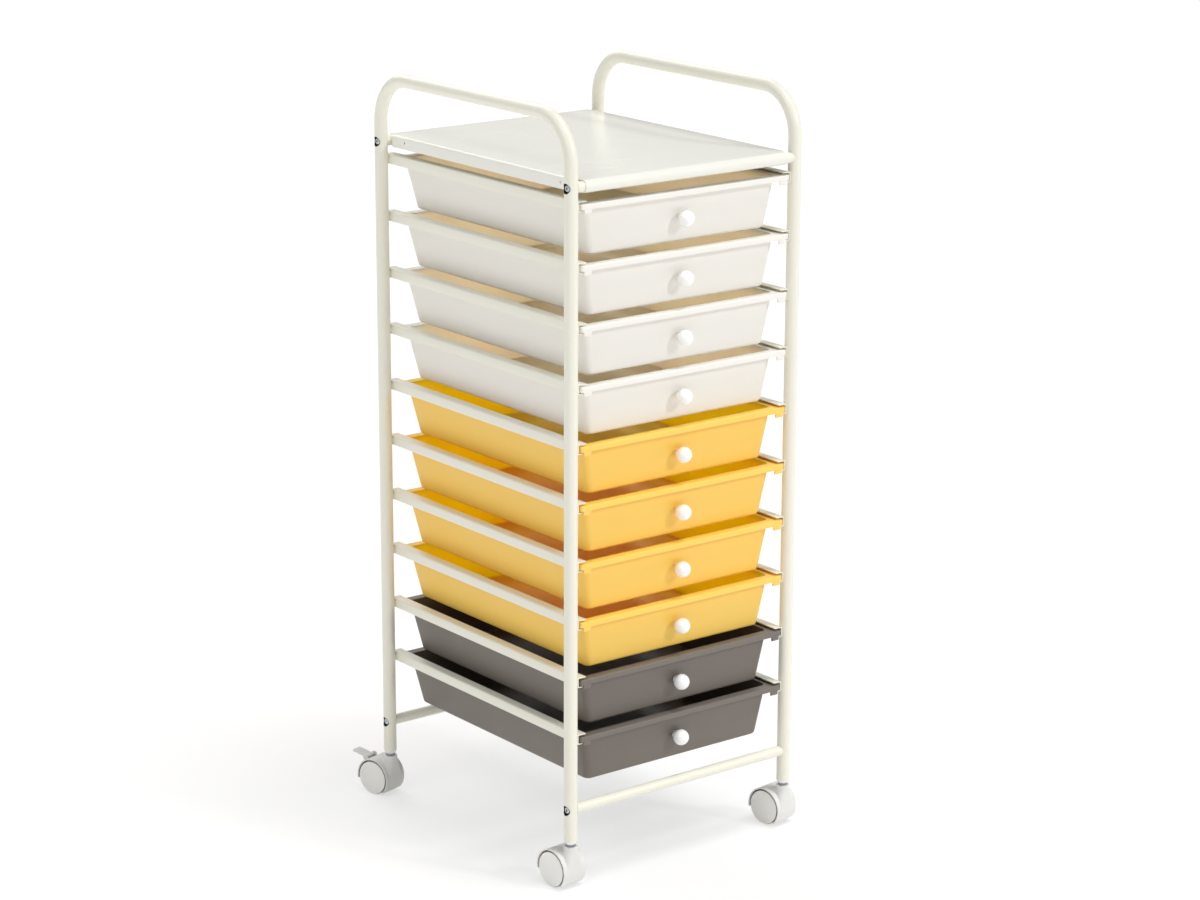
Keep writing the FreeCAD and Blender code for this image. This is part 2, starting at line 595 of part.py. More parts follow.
def caster_hood(label, braked):
    """Hood over both wheels, with the swivel neck in front and a web that holds the axle."""
    body = new_body(label)
    barrel = sketch_on(body, "YZ_Plane", f"{label}_barrel")
    circle(barrel, "Sizes.trail", WHEEL_R, HOOD_R)
    extrude(body, "Pad", barrel, f"2 * {HOOD_HALF}", side="Symmetric")
    neck, neck_foot = "Sizes.neck_d / 2", f"{NECK_TOP} - Sizes.neck_straight"
    shoulder = sketch_on(body, "XY_Plane", f"{label}_shoulder", WHEEL_R)
    rounded_rectangle(shoulder, f"-{HOOD_HALF}", HOOD_HALF, f"Sizes.trail - {HOOD_R}", "Sizes.trail",
                      "Sizes.hood_corner")
    throat = sketch_on(body, "XY_Plane", f"{label}_throat", neck_foot)
    rounded_rectangle(throat, f"-{neck}", neck, f"-{neck}", neck, f"{neck} - Sizes.seat")
    loft(body, "AdditiveLoft", shoulder, throat)
    primitive(body, "AdditiveCylinder", f"{label}_neck", "XY_Plane", neck_foot,
              Radius=neck, Height="Sizes.neck_straight")
    for name, sign in SIDES.items():
        well = sketch_on(body, "YZ_Plane", f"{label}_{name}_well", f"{sign} * Sizes.web / 2")
        circle(well, "Sizes.trail", WHEEL_R, WELL_R)
        extrude(body, "Pocket", well, reverse=sign > 0)
    below = sketch_on(body, "YZ_Plane", f"{label}_below")
    rectangle(below, f"Sizes.trail - 2 * {HOOD_R}", f"Sizes.trail + 2 * {HOOD_R}", f"-{HOOD_R}",
              "Sizes.hood_foot")
    extrude(body, "Pocket", below, side="Symmetric")
    behind = sketch_on(body, "YZ_Plane", f"{label}_behind")
    rectangle(behind, "Sizes.trail + Sizes.hood_tail_start", f"Sizes.trail + 2 * {HOOD_R}", f"-{HOOD_R}",
              "Sizes.hood_tail")
    extrude(body, "Pocket", behind, side="Symmetric")
    bore_foot = f"({STEM_FOOT} - Sizes.run)"
    primitive(body, "SubtractiveCylinder", f"{label}_stem_bore", "XY_Plane", bore_foot,
              Radius="Sizes.stem_d / 2 + Sizes.fit", Height=f"{NECK_TOP} - {bore_foot}")
    axle_bore = sketch_on(body, "YZ_Plane", f"{label}_axle_bore")
    circle(axle_bore, "Sizes.trail", WHEEL_R, "Sizes.axle_d / 2 + Sizes.fit")
    extrude(body, "Pocket", axle_bore, side="Symmetric")
    if braked:
        add_brake_ears(body, label)
    return body


def add_brake_ears(body, label):
    """Two ears on the hood for the brake lever, and a window for its toe."""
    pivot = polar(PIVOT_OUT)
    ears = sketch_on(body, "YZ_Plane", f"{label}_ears")
    circle(ears, *pivot, "Sizes.ear_d / 2")
    extrude(body, "Pad", ears, f"2 * {EAR_OUT}", side="Symmetric")
    window = sketch_on(body, "YZ_Plane", f"{label}_window")
    inside, outside = WHEEL_R, f"{PIVOT_OUT} + Sizes.ear_d"
    half = "(Sizes.ear_d / 2 + Sizes.window_margin)"
    polygon(window, [
        polar(inside, f"-{half}"), polar(outside, f"-{half}"), polar(outside, half), polar(inside, half),
    ])
    extrude(body, "Pocket", window, f"2 * {EAR_IN}", side="Symmetric")
    pin_holes = sketch_on(body, "YZ_Plane", f"{label}_pin_holes")
    circle(pin_holes, *pivot, "Sizes.lever_pin_d / 2 + Sizes.fit")
    extrude(body, "Pocket", pin_holes, f"2 * {EAR_OUT}", side="Symmetric")


def brake_lever(label):
    """Lever with a hub, two pins in the ears, a foot plate to the rear and a toe above the wheels."""
    body = new_body(label)
    pivot_y, pivot_z = polar(PIVOT_OUT)
    half = "Sizes.lever_sheet / 2"
    released = "(Sizes.lever_rise * 1 deg)"
    toe = "((180 + Sizes.lever_pivot_rise + Sizes.lever_travel) * 1 deg)"
    toe_length = f"({PIVOT_OUT} - {WHEEL_R} - Sizes.run - {half})"

    def along(distance, across, angle):
        return (f"{pivot_y} + ({distance}) * cos{angle} - ({across}) * sin{angle}",
                f"{pivot_z} + ({distance}) * sin{angle} + ({across}) * cos{angle}")

    def arm(name, length, angle):
        outline = sketch_on(body, "YZ_Plane", f"{label}_{name}")
        polygon(outline, [along("0", f"-{half}", angle), along(length, f"-{half}", angle),
                          along(length, half, angle), along("0", half, angle)])
        extrude(body, "Pad", outline, "Sizes.lever_width", side="Symmetric")

    def barrel(name, middle, radius, length):
        outline = sketch_on(body, "YZ_Plane", f"{label}_{name}")
        circle(outline, *middle, radius)
        extrude(body, "Pad", outline, length, side="Symmetric")

    barrel("hub", (pivot_y, pivot_z), "Sizes.lever_hub_d / 2", "Sizes.lever_width")
    arm("plate", "Sizes.lever_length", released)
    arm("toe", toe_length, toe)
    barrel("toe_end", along(toe_length, "0", toe), half, "Sizes.lever_width")
    barrel("pins", (pivot_y, pivot_z), "Sizes.lever_pin_d / 2", f"2 * {EAR_OUT}")
    return body


def caster_axle(label):
    """Axle through the web into both wheels."""
    body = new_body(label)
    section = sketch_on(body, "YZ_Plane", f"{label}_section")
    circle(section, "0", "0", "Sizes.axle_d / 2")
    extrude(body, "Pad", section, "Sizes.web + 2 * (Sizes.wheel_gap + Sizes.axle_reach - Sizes.run)",
            side="Symmetric")
    return body


def caster_wheel(label):
    """Wheel to the right of the web, with a closed outer face."""
    body = new_body(label)
    inner, bore = "(Sizes.web / 2 + Sizes.wheel_gap)", "Sizes.axle_d / 2 + Sizes.fit"
    outer, bore_end = f"({inner} + Sizes.wheel_width)", f"{inner} + Sizes.axle_reach"
    section = sketch_on(body, "XY_Plane", f"{label}_section")
    polygon(section, [
        (inner, bore), (bore_end, bore), (bore_end, "0"), (outer, "0"),
        (outer, f"{WHEEL_R} - Sizes.wheel_round"), (f"{outer} - Sizes.wheel_round", WHEEL_R),
        (f"{inner} + Sizes.wheel_round", WHEEL_R), (inner, f"{WHEEL_R} - Sizes.wheel_round"),
    ])
    revolve(body, section, "H_Axis")
    return body


def place_caster_piece(body, end, side, behind="0", up="0", half_turn=False):
    """Put a piece of a caster under its leg, turned with the caster."""
    yaw = f"Sizes.{end}_{side}_yaw"
    place(body, f"{SIDES[side]} * {HALF_X} - {behind} * sin({yaw} * 1 deg)",
          f"{ENDS[end]} * {HALF_Y} + {behind} * cos({yaw} * 1 deg)", up,
          turn=f"{yaw} + 180" if half_turn else yaw)


def casters():
    """Four casters; the rear pair has brake levers."""
    nodes, patterns = [], {}

    def piece(kind, label, make, *extra):
        if kind in patterns:
            body = copy_of(label, patterns[kind])
        else:
            body = patterns[kind] = make(label, *extra)
        nodes.append(body)
        return body

    for end, side in CORNERS:
        name = f"{end}_{side}"
        braked = end == "rear"
        hood = piece(f"{end} hood", f"{name}_caster_hood", caster_hood, braked)
        place_caster_piece(hood, end, side)
        if braked:
            place_caster_piece(piece("lever", f"{name}_brake_lever", brake_lever), end, side)
        axle = piece("axle", f"{name}_axle", caster_axle)
        place_caster_piece(axle, end, side, "Sizes.trail", WHEEL_R)
        for wheel_side in SIDES:
            row = "outer" if wheel_side == side else "inner"
            wheel = piece("wheel", f"{name}_{row}_wheel", caster_wheel)
            place_caster_piece(wheel, end, side, "Sizes.trail", WHEEL_R, half_turn=wheel_side == "left")
    return nodes


# Drawers, each drawn from the top edge of its front lip

def tray(label):
    """Moulded tray with leaning walls, a rim with lips that run in the rails, and two stop tabs."""
    body = new_body(label)
    outer_x = f"({RIM_HALF} - Sizes.rim_side)"
    front, rear = "Sizes.rim_front", f"({TRAY_LENGTH} - Sizes.rim_rear)"
    floor = "(Sizes.tray_depth - Sizes.tray_floor)"

    def wall_outline(name, depth, wall):
        lean = f"(({depth}) / Sizes.tray_depth)"
        half = f"({outer_x} - Sizes.side_taper * {lean} - {wall})"
        outline = sketch_on(body, "XY_Plane", f"{label}_{name}", f"-({depth})")
        rounded_rectangle(outline, f"-{half}", half, f"{front} + Sizes.front_taper * {lean} + {wall}",
                          f"{rear} - Sizes.rear_taper * {lean} - {wall}", f"Sizes.tray_corner - {wall}")
        return outline

    mouth, foot = wall_outline("mouth", "0", "0"), wall_outline("foot", "Sizes.tray_depth", "0")
    loft(body, "AdditiveLoft", mouth, foot)
    round_edges(body, f"{label}_foot_round", "Sizes.tray_foot_round", z=-num("Sizes.tray_depth"))
    rim = sketch_on(body, "XY_Plane", f"{label}_rim")
    rounded_rectangle(rim, f"-{RIM_HALF}", RIM_HALF, "0", TRAY_LENGTH, "Sizes.rim_corner")
    extrude(body, "Pad", rim, "Sizes.rim_sheet", reverse=True)
    lips = sketch_on(body, "XY_Plane", f"{label}_lips")
    rounded_rectangle(lips, f"-{RIM_HALF}", RIM_HALF, "0", TRAY_LENGTH, "Sizes.rim_corner")
    rounded_rectangle(lips, f"-{RIM_HALF} + Sizes.lip_wall", f"{RIM_HALF} - Sizes.lip_wall",
                      "Sizes.lip_wall", f"{TRAY_LENGTH} - Sizes.lip_wall",
                      "Sizes.rim_corner - Sizes.lip_wall")
    extrude(body, "Pad", lips, "Sizes.runner_height", reverse=True)
    relief = sketch_on(body, "XY_Plane", f"{label}_relief", "-Sizes.lip_height")
    outside, inside = f"({RIM_HALF} + Sizes.run)", f"({RIM_HALF} - Sizes.rim_side / 2)"
    polygon(relief, [
        (f"-{outside}", "-Sizes.run"), (outside, "-Sizes.run"), (outside, "Sizes.runner_setback"),
        (inside, "Sizes.runner_setback"), (inside, "Sizes.rim_front / 2"),
        (f"-{inside}", "Sizes.rim_front / 2"),
        (f"-{inside}", "Sizes.runner_setback"), (f"-{outside}", "Sizes.runner_setback"),
    ])
    extrude(body, "Pocket", relief, "Sizes.runner_height")
    tabs = sketch_on(body, "XZ_Plane", f"{label}_tabs")
    tab_end = f"({RIM_HALF} - Sizes.tab_inset)"
    for sign in SIDES.values():
        rectangle(tabs, f"{sign} * ({tab_end} - Sizes.tab_width)", f"{sign} * {tab_end}",
                  "-Sizes.lip_height - Sizes.tab_drop", "-Sizes.rim_sheet / 2")
    extrude(body, "Pad", tabs, "Sizes.lip_wall", reverse=True)
    loft(body, "SubtractiveLoft", wall_outline("inside", "0", "Sizes.tray_wall"),
         wall_outline("floor", floor, "Sizes.tray_wall"))
    hole = sketch_on(body, "XZ_Plane", f"{label}_screw_hole")
    circle(hole, "0", "-Sizes.knob_drop", "Sizes.screw_d / 2 + Sizes.screw_play")
    extrude(body, "Pocket", hole, "Sizes.rim_front + Sizes.front_taper + 2 * Sizes.tray_wall")
    return body


def ball_knob(label):
    """Ball on a short neck, bored for its screw, standing out to the front."""
    body = new_body(label)
    primitive(body, "AdditiveCylinder", f"{label}_neck", "XZ_Plane", "Sizes.seat",
              Radius="Sizes.knob_neck_d / 2", Height="Sizes.knob_standoff - Sizes.seat")
    primitive(body, "AdditiveSphere", f"{label}_ball", "XZ_Plane", "Sizes.knob_standoff",
              Radius="Sizes.knob_d / 2")
    primitive(body, "SubtractiveCylinder", f"{label}_bore", "XZ_Plane", "0",
              Radius="Sizes.screw_d / 2 + Sizes.fit", Height="Sizes.screw_reach + Sizes.run")
    return body


def knob_screw(label):
    """Slotted screw from inside the tray, through the front wall into the knob."""
    body = new_body(label)
    under = "(Sizes.tray_wall + Sizes.seat)"
    crown = f"({under} + Sizes.screw_head_height)"
    section = sketch_on(body, "XY_Plane", f"{label}_section")
    polygon(section, [
        ("0", "-Sizes.screw_reach"), ("Sizes.screw_d / 2", "-Sizes.screw_reach"),
        ("Sizes.screw_d / 2", under), ("Sizes.screw_head_d / 2", under),
        ("Sizes.screw_head_d / 2", crown), ("0", crown),
    ])
    revolve(body, section, "V_Axis")
    slot = sketch_on(body, "XZ_Plane", f"{label}_slot", f"-{crown}")
    rectangle(slot, "-Sizes.screw_head_d", "Sizes.screw_head_d", "-Sizes.screw_slot / 2",
              "Sizes.screw_slot / 2")
    extrude(body, "Pocket", slot, "Sizes.screw_head_height / 2", reverse=True)
    return body


def drawers():
    """Ten trays, one in each pair of rails, each with a knob and its screw."""
    nodes = []
    patterns = {}
    lean = "(Sizes.front_taper / Sizes.tray_depth)"
    knob_y = f"{RIM_FRONT_Y} + Sizes.rim_front + Sizes.knob_drop * {lean}"
    makers = {"tray": tray, "knob": ball_knob, "knob_screw": knob_screw}
    for number in range(DRAWER_COUNT):
        rim = f"{RIM_TOP_Z} - {number} * {PITCH}"
        for kind, make in makers.items():
            label = f"drawer_{number + 1:02d}_{kind}"
            body = copy_of(label, patterns[kind]) if number else make(label)
            patterns.setdefault(kind, body)
            if kind == "tray":
                place(body, y=RIM_FRONT_Y, z=rim)
            else:
                place(body, y=knob_y, z=f"{rim} - Sizes.knob_drop", turn=f"atan{lean} / 1 deg",
                      axis=FreeCAD.Vector(1, 0, 0))
            nodes.append(body)
    return nodes


# The whole cart

def cart():
    """Every piece of the cart, in the order of its making."""
    nodes = [side_tube(f"{name}_side_tube", sign) for name, sign in SIDES.items()]
    left_rails = drawer_rails("left_rails")
    right_rails = copy_of("right_rails", left_rails)
    place(right_rails, turn="180")
    nodes += [left_rails, right_rails, top_panel("top_panel")]
    nodes += cross_bars()
    nodes.append(frame_bolts("frame_bolts"))
    nodes.append(one_per_leg("leg_sockets", leg_socket))
    nodes.append(one_per_leg("caster_stems", caster_stem))
    nodes += casters()
    nodes += drawers()
    return nodes


def check(nodes):
    """Stop if any step of the model failed or any piece has no valid shape."""
    for item in doc.Objects:
        if {"Invalid", "Error"}.intersection(item.State):
            raise RuntimeError(f"{item.Label} failed: {item.State}")
    for node in nodes:
        if node.Shape.isNull() or not node.Shape.isValid():
            raise RuntimeError(f"{node.Label} has no valid shape")


def export(nodes):
    """Write each piece to a file with its own name."""
    os.makedirs("parts", exist_ok=True)
    for node in nodes:
        node.Shape.exportStep(f"parts/{node.Label}.step")


pieces = cart()
doc.recompute()
check(pieces)
export(pieces)
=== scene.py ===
"""Looks of the rolling drawer cart: powder-coated steel, moulded trays and twin-wheel casters."""

import json
import logging
import math
from collections.abc import Iterable, Sequence
from dataclasses import dataclass
from enum import Enum
from typing import Any

import bmesh
import bpy
from bmesh.types import BMEdge, BMFace, BMVert
from mathutils import Matrix, Vector


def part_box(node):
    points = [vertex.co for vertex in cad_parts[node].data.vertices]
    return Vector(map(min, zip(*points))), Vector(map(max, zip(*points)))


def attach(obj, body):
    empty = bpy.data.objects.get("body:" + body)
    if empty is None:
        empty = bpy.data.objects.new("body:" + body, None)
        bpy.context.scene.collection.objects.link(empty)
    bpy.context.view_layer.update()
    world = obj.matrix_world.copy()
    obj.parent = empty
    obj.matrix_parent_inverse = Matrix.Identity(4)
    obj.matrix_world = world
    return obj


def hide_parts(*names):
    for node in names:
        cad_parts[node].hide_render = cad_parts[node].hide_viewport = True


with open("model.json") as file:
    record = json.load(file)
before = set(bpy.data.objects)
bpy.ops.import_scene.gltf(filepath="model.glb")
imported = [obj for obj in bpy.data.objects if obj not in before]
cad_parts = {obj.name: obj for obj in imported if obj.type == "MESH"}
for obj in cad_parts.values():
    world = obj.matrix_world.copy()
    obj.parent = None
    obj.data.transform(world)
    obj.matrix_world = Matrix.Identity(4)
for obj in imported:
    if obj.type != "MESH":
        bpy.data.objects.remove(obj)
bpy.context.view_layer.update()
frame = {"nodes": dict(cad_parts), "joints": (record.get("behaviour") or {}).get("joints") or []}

LOG = logging.getLogger("drawer_cart")
UP = Vector((0, 0, 1))
ALONG_X = Vector((1, 0, 0))
ALONG_Y = Vector((0, 1, 0))
DRAWERS = 10
# Points closer than TOUCH are one point, and heights closer than LEVEL are one height, in metres.
TOUCH = 1e-6
LEVEL = 1e-5
# Light reaches the insides of the trays only after many bounces.
BOUNCES = 20
DIFFUSE_BOUNCES = 16
Triple = tuple[float, float, float]
Colour = Triple


class Spelled(Enum):
    """A direction that node names spell out."""

    @property
    def word(self) -> str:
        """The direction as node names spell it."""
        return self.name.lower()


class Side(Spelled):
    """Left or right side of the cart, with its sign on X."""

    LEFT = -1
    RIGHT = 1


class End(Spelled):
    """Front or rear of the cart, with its sign on Y."""

    FRONT = -1
    REAR = 1


class Slot(Enum):
    """Material slots of the record."""

    FRAME = "frame_paint"
    CREAM = "cream_plastic"
    YELLOW = "yellow_plastic"
    GREY = "grey_plastic"
    KNOB = "knob_plastic"
    CASTER = "caster_plastic"
    WHEEL = "wheel_plastic"
    ZINC = "zinc_steel"


class Value:
    """A shader socket that takes part in Python sums; each sum adds its Math node."""

    def __init__(self, graph: "Graph", socket: bpy.types.NodeSocket) -> None:
        """Keeps the socket with the graph that it belongs to."""
        self.graph = graph
        self.socket = socket

    def __add__(self, other: "Value | float") -> "Value":
        """Sum of two values."""
        return self.graph.maths("ADD", self, other)

    def __mul__(self, other: "Value | float") -> "Value":
        """Product of two values."""
        return self.graph.maths("MULTIPLY", self, other)

    __radd__ = __add__
    __rmul__ = __mul__


class Graph:
    """The node tree of a material or of the world."""

    def __init__(self, owner: bpy.types.Material | bpy.types.World) -> None:
        """Starts an empty tree."""
        owner.use_nodes = True
        self.owner = owner
        self.tree = owner.node_tree
        self.tree.nodes.clear()

    @classmethod
    def material(cls, name: str) -> "Graph":
        """Starts the tree of a new material."""
        return cls(bpy.data.materials.new(name))

    def node(self, kind: str, sockets: dict[str, Any], **settings: Any) -> bpy.types.Node:
        """Adds a node.

        Args:
            kind: the node's type.
            sockets: values or links of its inputs, by identifier.
            settings: its properties, which are set first.

        Returns:
            The new node.
        """
        made = self.tree.nodes.new(kind)
        for key, setting in settings.items():
            setattr(made, key, setting)
        for key, value in sockets.items():
            socket = next(item for item in made.inputs if item.identifier == key)
            if isinstance(value, Value):
                self.tree.links.new(value.socket, socket)
            else:
                socket.default_value = value
        return made

    def out(self, made: bpy.types.Node, key: str) -> Value:
        """One output of a node, by identifier."""
        return Value(self, next(item for item in made.outputs if item.identifier == key))

    def maths(self, operation: str, first: "Value | float", second: "Value | float") -> Value:
        """One Math node."""
        sockets = {"Value": first, "Value_001": second}
        return self.out(self.node("ShaderNodeMath", sockets, operation=operation), "Value")

    def blend(self, share: Value, first: "Value | Colour", second: "Value | Colour") -> Value:
        """Mixes two colours.

        Args:
            share: how much of the second colour shows, 0 to 1.
            first: the colour at 0.
            second: the colour at 1.

        Returns:
            The mixed colour.
        """
        ends = {"A_Color": first, "B_Color": second}
        sockets = {key: tone if isinstance(tone, Value) else (*tone, 1.0)
                   for key, tone in ends.items()}
        made = self.node("ShaderNodeMix", {"Factor_Float": share, **sockets}, data_type="RGBA")
        return self.out(made, "Result_Color")

    def place(self, stretch: Triple = (1.0, 1.0, 1.0)) -> Value:
        """Object coordinates, stretched along the axes."""
        where = self.out(self.node("ShaderNodeTexCoord", {}), "Object")
        made = self.node("ShaderNodeMapping", {"Vector": where, "Scale": stretch})
        return self.out(made, "Vector")

    def noise(self, place: Value, scale: float, detail: float = 2.0) -> Value:
        """Cloudy noise between 0 and 1, with scale in waves to the metre."""
        sockets = {"Vector": place, "Scale": scale, "Detail": detail}
        return self.out(self.node("ShaderNodeTexNoise", sockets), "Fac")

    def bump(self, height: Value, strength: float, distance: float) -> Value:
        """Surface normal raised by a height."""
        sockets = {"Height": height, "Strength": strength, "Distance": distance}
        return self.out(self.node("ShaderNodeBump", sockets), "Normal")

    def close(self, shader: bpy.types.Node,
              key: str = "BSDF") -> bpy.types.Material | bpy.types.World:
        """Joins a shader to the output and returns the tree's owner."""
        kind = "World" if isinstance(self.owner, bpy.types.World) else "Material"
        self.node(f"ShaderNodeOutput{kind}", {"Surface": self.out(shader, key)})
        return self.owner


@dataclass(frozen=True)
class PowderCoat:
    """Baked powder paint: a fine orange-peel skin with slow clouds of gloss."""

    name: str
    colour: Colour
    shade: Colour
    gloss: float = 0.30
    clouds: float = 11.0
    peel: float = 620.0
    specks: float = 2108.0
    cloud_share: float = 0.75
    cloud_gloss: float = 0.10
    speck_gloss: float = 0.05
    speck_share: float = 0.35
    relief: float = 0.16
    height: float = 0.0003
    coat: float = 0.15
    coat_gloss: float = 0.12

    def material(self) -> bpy.types.Material:
        """The paint as a material."""
        graph = Graph.material(self.name)
        place = graph.place()
        cloud = graph.noise(place, self.clouds, detail=3.0)
        skin = graph.noise(place, self.peel, detail=1.0)
        speck = graph.noise(place, self.specks, detail=1.0)
        mottle = cloud * self.cloud_share + skin * (1.0 - self.cloud_share)
        return graph.close(graph.node("ShaderNodeBsdfPrincipled", {
            "Base Color": graph.blend(mottle, self.colour, self.shade),
            "Roughness": self.gloss + cloud * self.cloud_gloss + speck * self.speck_gloss,
            "Normal": graph.bump(skin + speck * self.speck_share, self.relief, self.height),
            "Coat Weight": self.coat, "Coat Roughness": self.coat_gloss,
        }))


@dataclass(frozen=True)
class MouldedPlastic:
    """Injection-moulded plastic: a satin grain, and faint flow lines along the walls.

    Depth is how far red, green and blue light travels in it, in metres.
    """

    name: str
    colour: Colour
    shade: Colour
    gloss: float = 0.34
    relief: float = 0.10
    depth: Triple = (0.0, 0.0, 0.0)
    clouds: float = 9.0
    flow: float = 34.0
    flow_stretch: Triple = (1.0, 1.0, 0.16)
    grain: float = 2100.0
    cloud_share: float = 0.6
    flow_share: float = 0.6
    flow_gloss: float = 0.08
    grain_gloss: float = 0.06
    height: float = 0.0002
    specular: float = 0.5

    def material(self) -> bpy.types.Material:
        """The plastic as a material."""
        graph = Graph.material(self.name)
        place = graph.place()
        flow = graph.noise(graph.place(self.flow_stretch), self.flow, detail=4.0)
        cloud = graph.noise(place, self.clouds)
        grain = graph.noise(place, self.grain)
        mottle = cloud * self.cloud_share + flow * (1.0 - self.cloud_share)
        return graph.close(graph.node("ShaderNodeBsdfPrincipled", {
            "Base Color": graph.blend(mottle, self.colour, self.shade),
            "Roughness": self.gloss + flow * self.flow_gloss + grain * self.grain_gloss,
            "Normal": graph.bump(grain + flow * self.flow_share, self.relief, self.height),
            "Subsurface Weight": float(any(self.depth)), "Subsurface Radius": self.depth,
            "Subsurface Scale": 1.0, "Specular IOR Level": self.specular,
        }))


@dataclass(frozen=True)
class ZincPlate:
    """Bright zinc plating: grainy metal with a faint blue and straw bloom."""

    name: str
    colour: Colour
    bloom: Colour
    gloss: float = 0.26
    patches: float = 180.0
    grain: float = 2600.0
    grain_gloss: float = 0.14
    relief: float = 0.12
    height: float = 0.0001

    def material(self) -> bpy.types.Material:
        """The plating as a material."""
        graph = Graph.material(self.name)
        place = graph.place()
        bloom = graph.noise(place, self.patches, detail=3.0)
        grain = graph.noise(place, self.grain)
        return graph.close(graph.node("ShaderNodeBsdfPrincipled", {
            "Base Color": graph.blend(bloom, self.colour, self.bloom), "Metallic": 1.0,
            "Roughness": self.gloss + grain * self.grain_gloss,
            "Normal": graph.bump(grain, self.relief, self.height),
        }))


@dataclass(frozen=True)
class Backdrop:
    """White studio floor that keeps the cart's shadow."""

    name: str = "studio_floor"
    colour: Colour = (0.98, 0.98, 0.98)
    glow: float = 0.62

    def material(self) -> bpy.types.Material:
        """The floor as a material that glows in part for the camera and for shiny things."""
        graph = Graph.material(self.name)
        rays = graph.node("ShaderNodeLightPath", {})
        seen = sum((graph.out(rays, f"Is {kind} Ray") for kind in ("Glossy", "Transmission")),
                   graph.out(rays, "Is Camera Ray"))
        paper = graph.node("ShaderNodeBsdfDiffuse", {"Color": (*self.colour, 1.0)})
        white = {"Color": (1.0, 1.0, 1.0, 1.0), "Strength": 1.0}
        glow = graph.node("ShaderNodeEmission", white)
        mixed = graph.node("ShaderNodeMixShader", {
            "Fac": seen * self.glow, "Shader": graph.out(paper, "BSDF"),
            "Shader_001": graph.out(glow, "Emission"),
        })
        return graph.close(mixed, "Shader")


class Palette:
    """The finishes of the cart, each made once."""

    INSIDE_GLOSS = 0.26
    INSIDE_SHADE: Colour = (0.99, 0.97, 0.94)

    def __init__(self) -> None:
        """Makes every finish."""
        self.paint = PowderCoat("cream_powder_coat", (0.87, 0.852, 0.745),
                                (0.84, 0.82, 0.705)).material()
        self.panel = PowderCoat("panel_powder_coat", (0.87, 0.865, 0.80), (0.85, 0.84, 0.765),
                                gloss=0.18).material()
        # The inside colours are painted light: warmer and deeper than the outside (darker for
        # grey), standing for light bounced inside the trays and passed through their walls; the
        # plastic is one colour through.
        self.trays = {
            Slot.CREAM: self.shell("cream", (0.885, 0.862, 0.812), (0.87, 0.842, 0.785),
                                   (0.985, 0.88, 0.67), (0.985, 0.94, 0.78),
                                   (0.021, 0.011, 0.0075)),
            Slot.YELLOW: self.shell("yellow", (0.98, 0.65, 0.13), (0.97, 0.625, 0.11),
                                    (0.99, 0.745, 0.055), (0.99, 0.87, 0.22),
                                    (0.021, 0.0079, 0.0006)),
            Slot.GREY: self.shell("grey", (0.185, 0.16, 0.138), (0.17, 0.146, 0.125),
                                  (0.16, 0.12, 0.09), (0.16, 0.12, 0.09), (0.0, 0.0, 0.0)),
        }
        self.knob = MouldedPlastic("knob_gloss_plastic", (0.97, 0.97, 0.965), (0.96, 0.958, 0.95),
                                   gloss=0.22, relief=0.04).material()
        self.caster = MouldedPlastic("caster_plastic", (0.78, 0.776, 0.752), (0.755, 0.75, 0.725),
                                     gloss=0.30).material()
        self.collar = MouldedPlastic("collar_plastic", (0.93, 0.93, 0.92), (0.91, 0.91, 0.895),
                                     gloss=0.30).material()
        self.wheel = MouldedPlastic("wheel_plastic", (0.92, 0.91, 0.875), (0.90, 0.89, 0.85),
                                    gloss=0.36).material()
        self.tread = MouldedPlastic("tread_plastic", (0.28, 0.24, 0.205), (0.25, 0.215, 0.18),
                                    gloss=0.42).material()
        self.zinc = ZincPlate("zinc_plating", (0.58, 0.63, 0.68), (0.66, 0.66, 0.63)).material()
        # Stems: steel whose colour is darkened as painted shade, for the dark ring in the swivel
        # gap under the collar.
        self.stem = ZincPlate("stem_steel", (0.26, 0.29, 0.33), (0.30, 0.31, 0.31)).material()
        # Near-black painted shade for faces deep in the bolt recesses, standing for the dark hollow
        # of the tube round each head.
        self.bore = PowderCoat("tube_bore_steel", (0.035, 0.037, 0.04),
                               (0.025, 0.026, 0.028)).material()

    def shell(self, name: str, colour: Colour, shade: Colour, walls: Colour, floor: Colour,
              reach: Triple) -> list[bpy.types.Material]:
        """Finishes of one colour of tray, with painted warm shade on the insides.

        Args:
            name: the colour.
            colour: the outside where it is lightest.
            shade: the outside where it is darkest.
            walls: the walls' inside, where light comes through them; its warmer, deeper tone is
                painted light standing for light bounced inside the tray.
            floor: the floor's inside, whose warmer, deeper tone is painted light standing for light
                bounced inside the tray.
            reach: how far red, green and blue light travels in the walls, metres.

        Returns:
            The satin outside, the glossier inside of the walls, and the floor.
        """
        finishes = [MouldedPlastic(f"{name}_tray_plastic", colour, shade).material()]
        for place, tone, depth in (("walls", walls, reach), ("floor", floor, (0.0, 0.0, 0.0))):
            deeper = tuple(part * share for part, share in zip(tone, self.INSIDE_SHADE))
            finish = MouldedPlastic(f"{name}_tray_{place}", tone, deeper, self.INSIDE_GLOSS,
                                    depth=depth)
            finishes.append(finish.material())
        return finishes


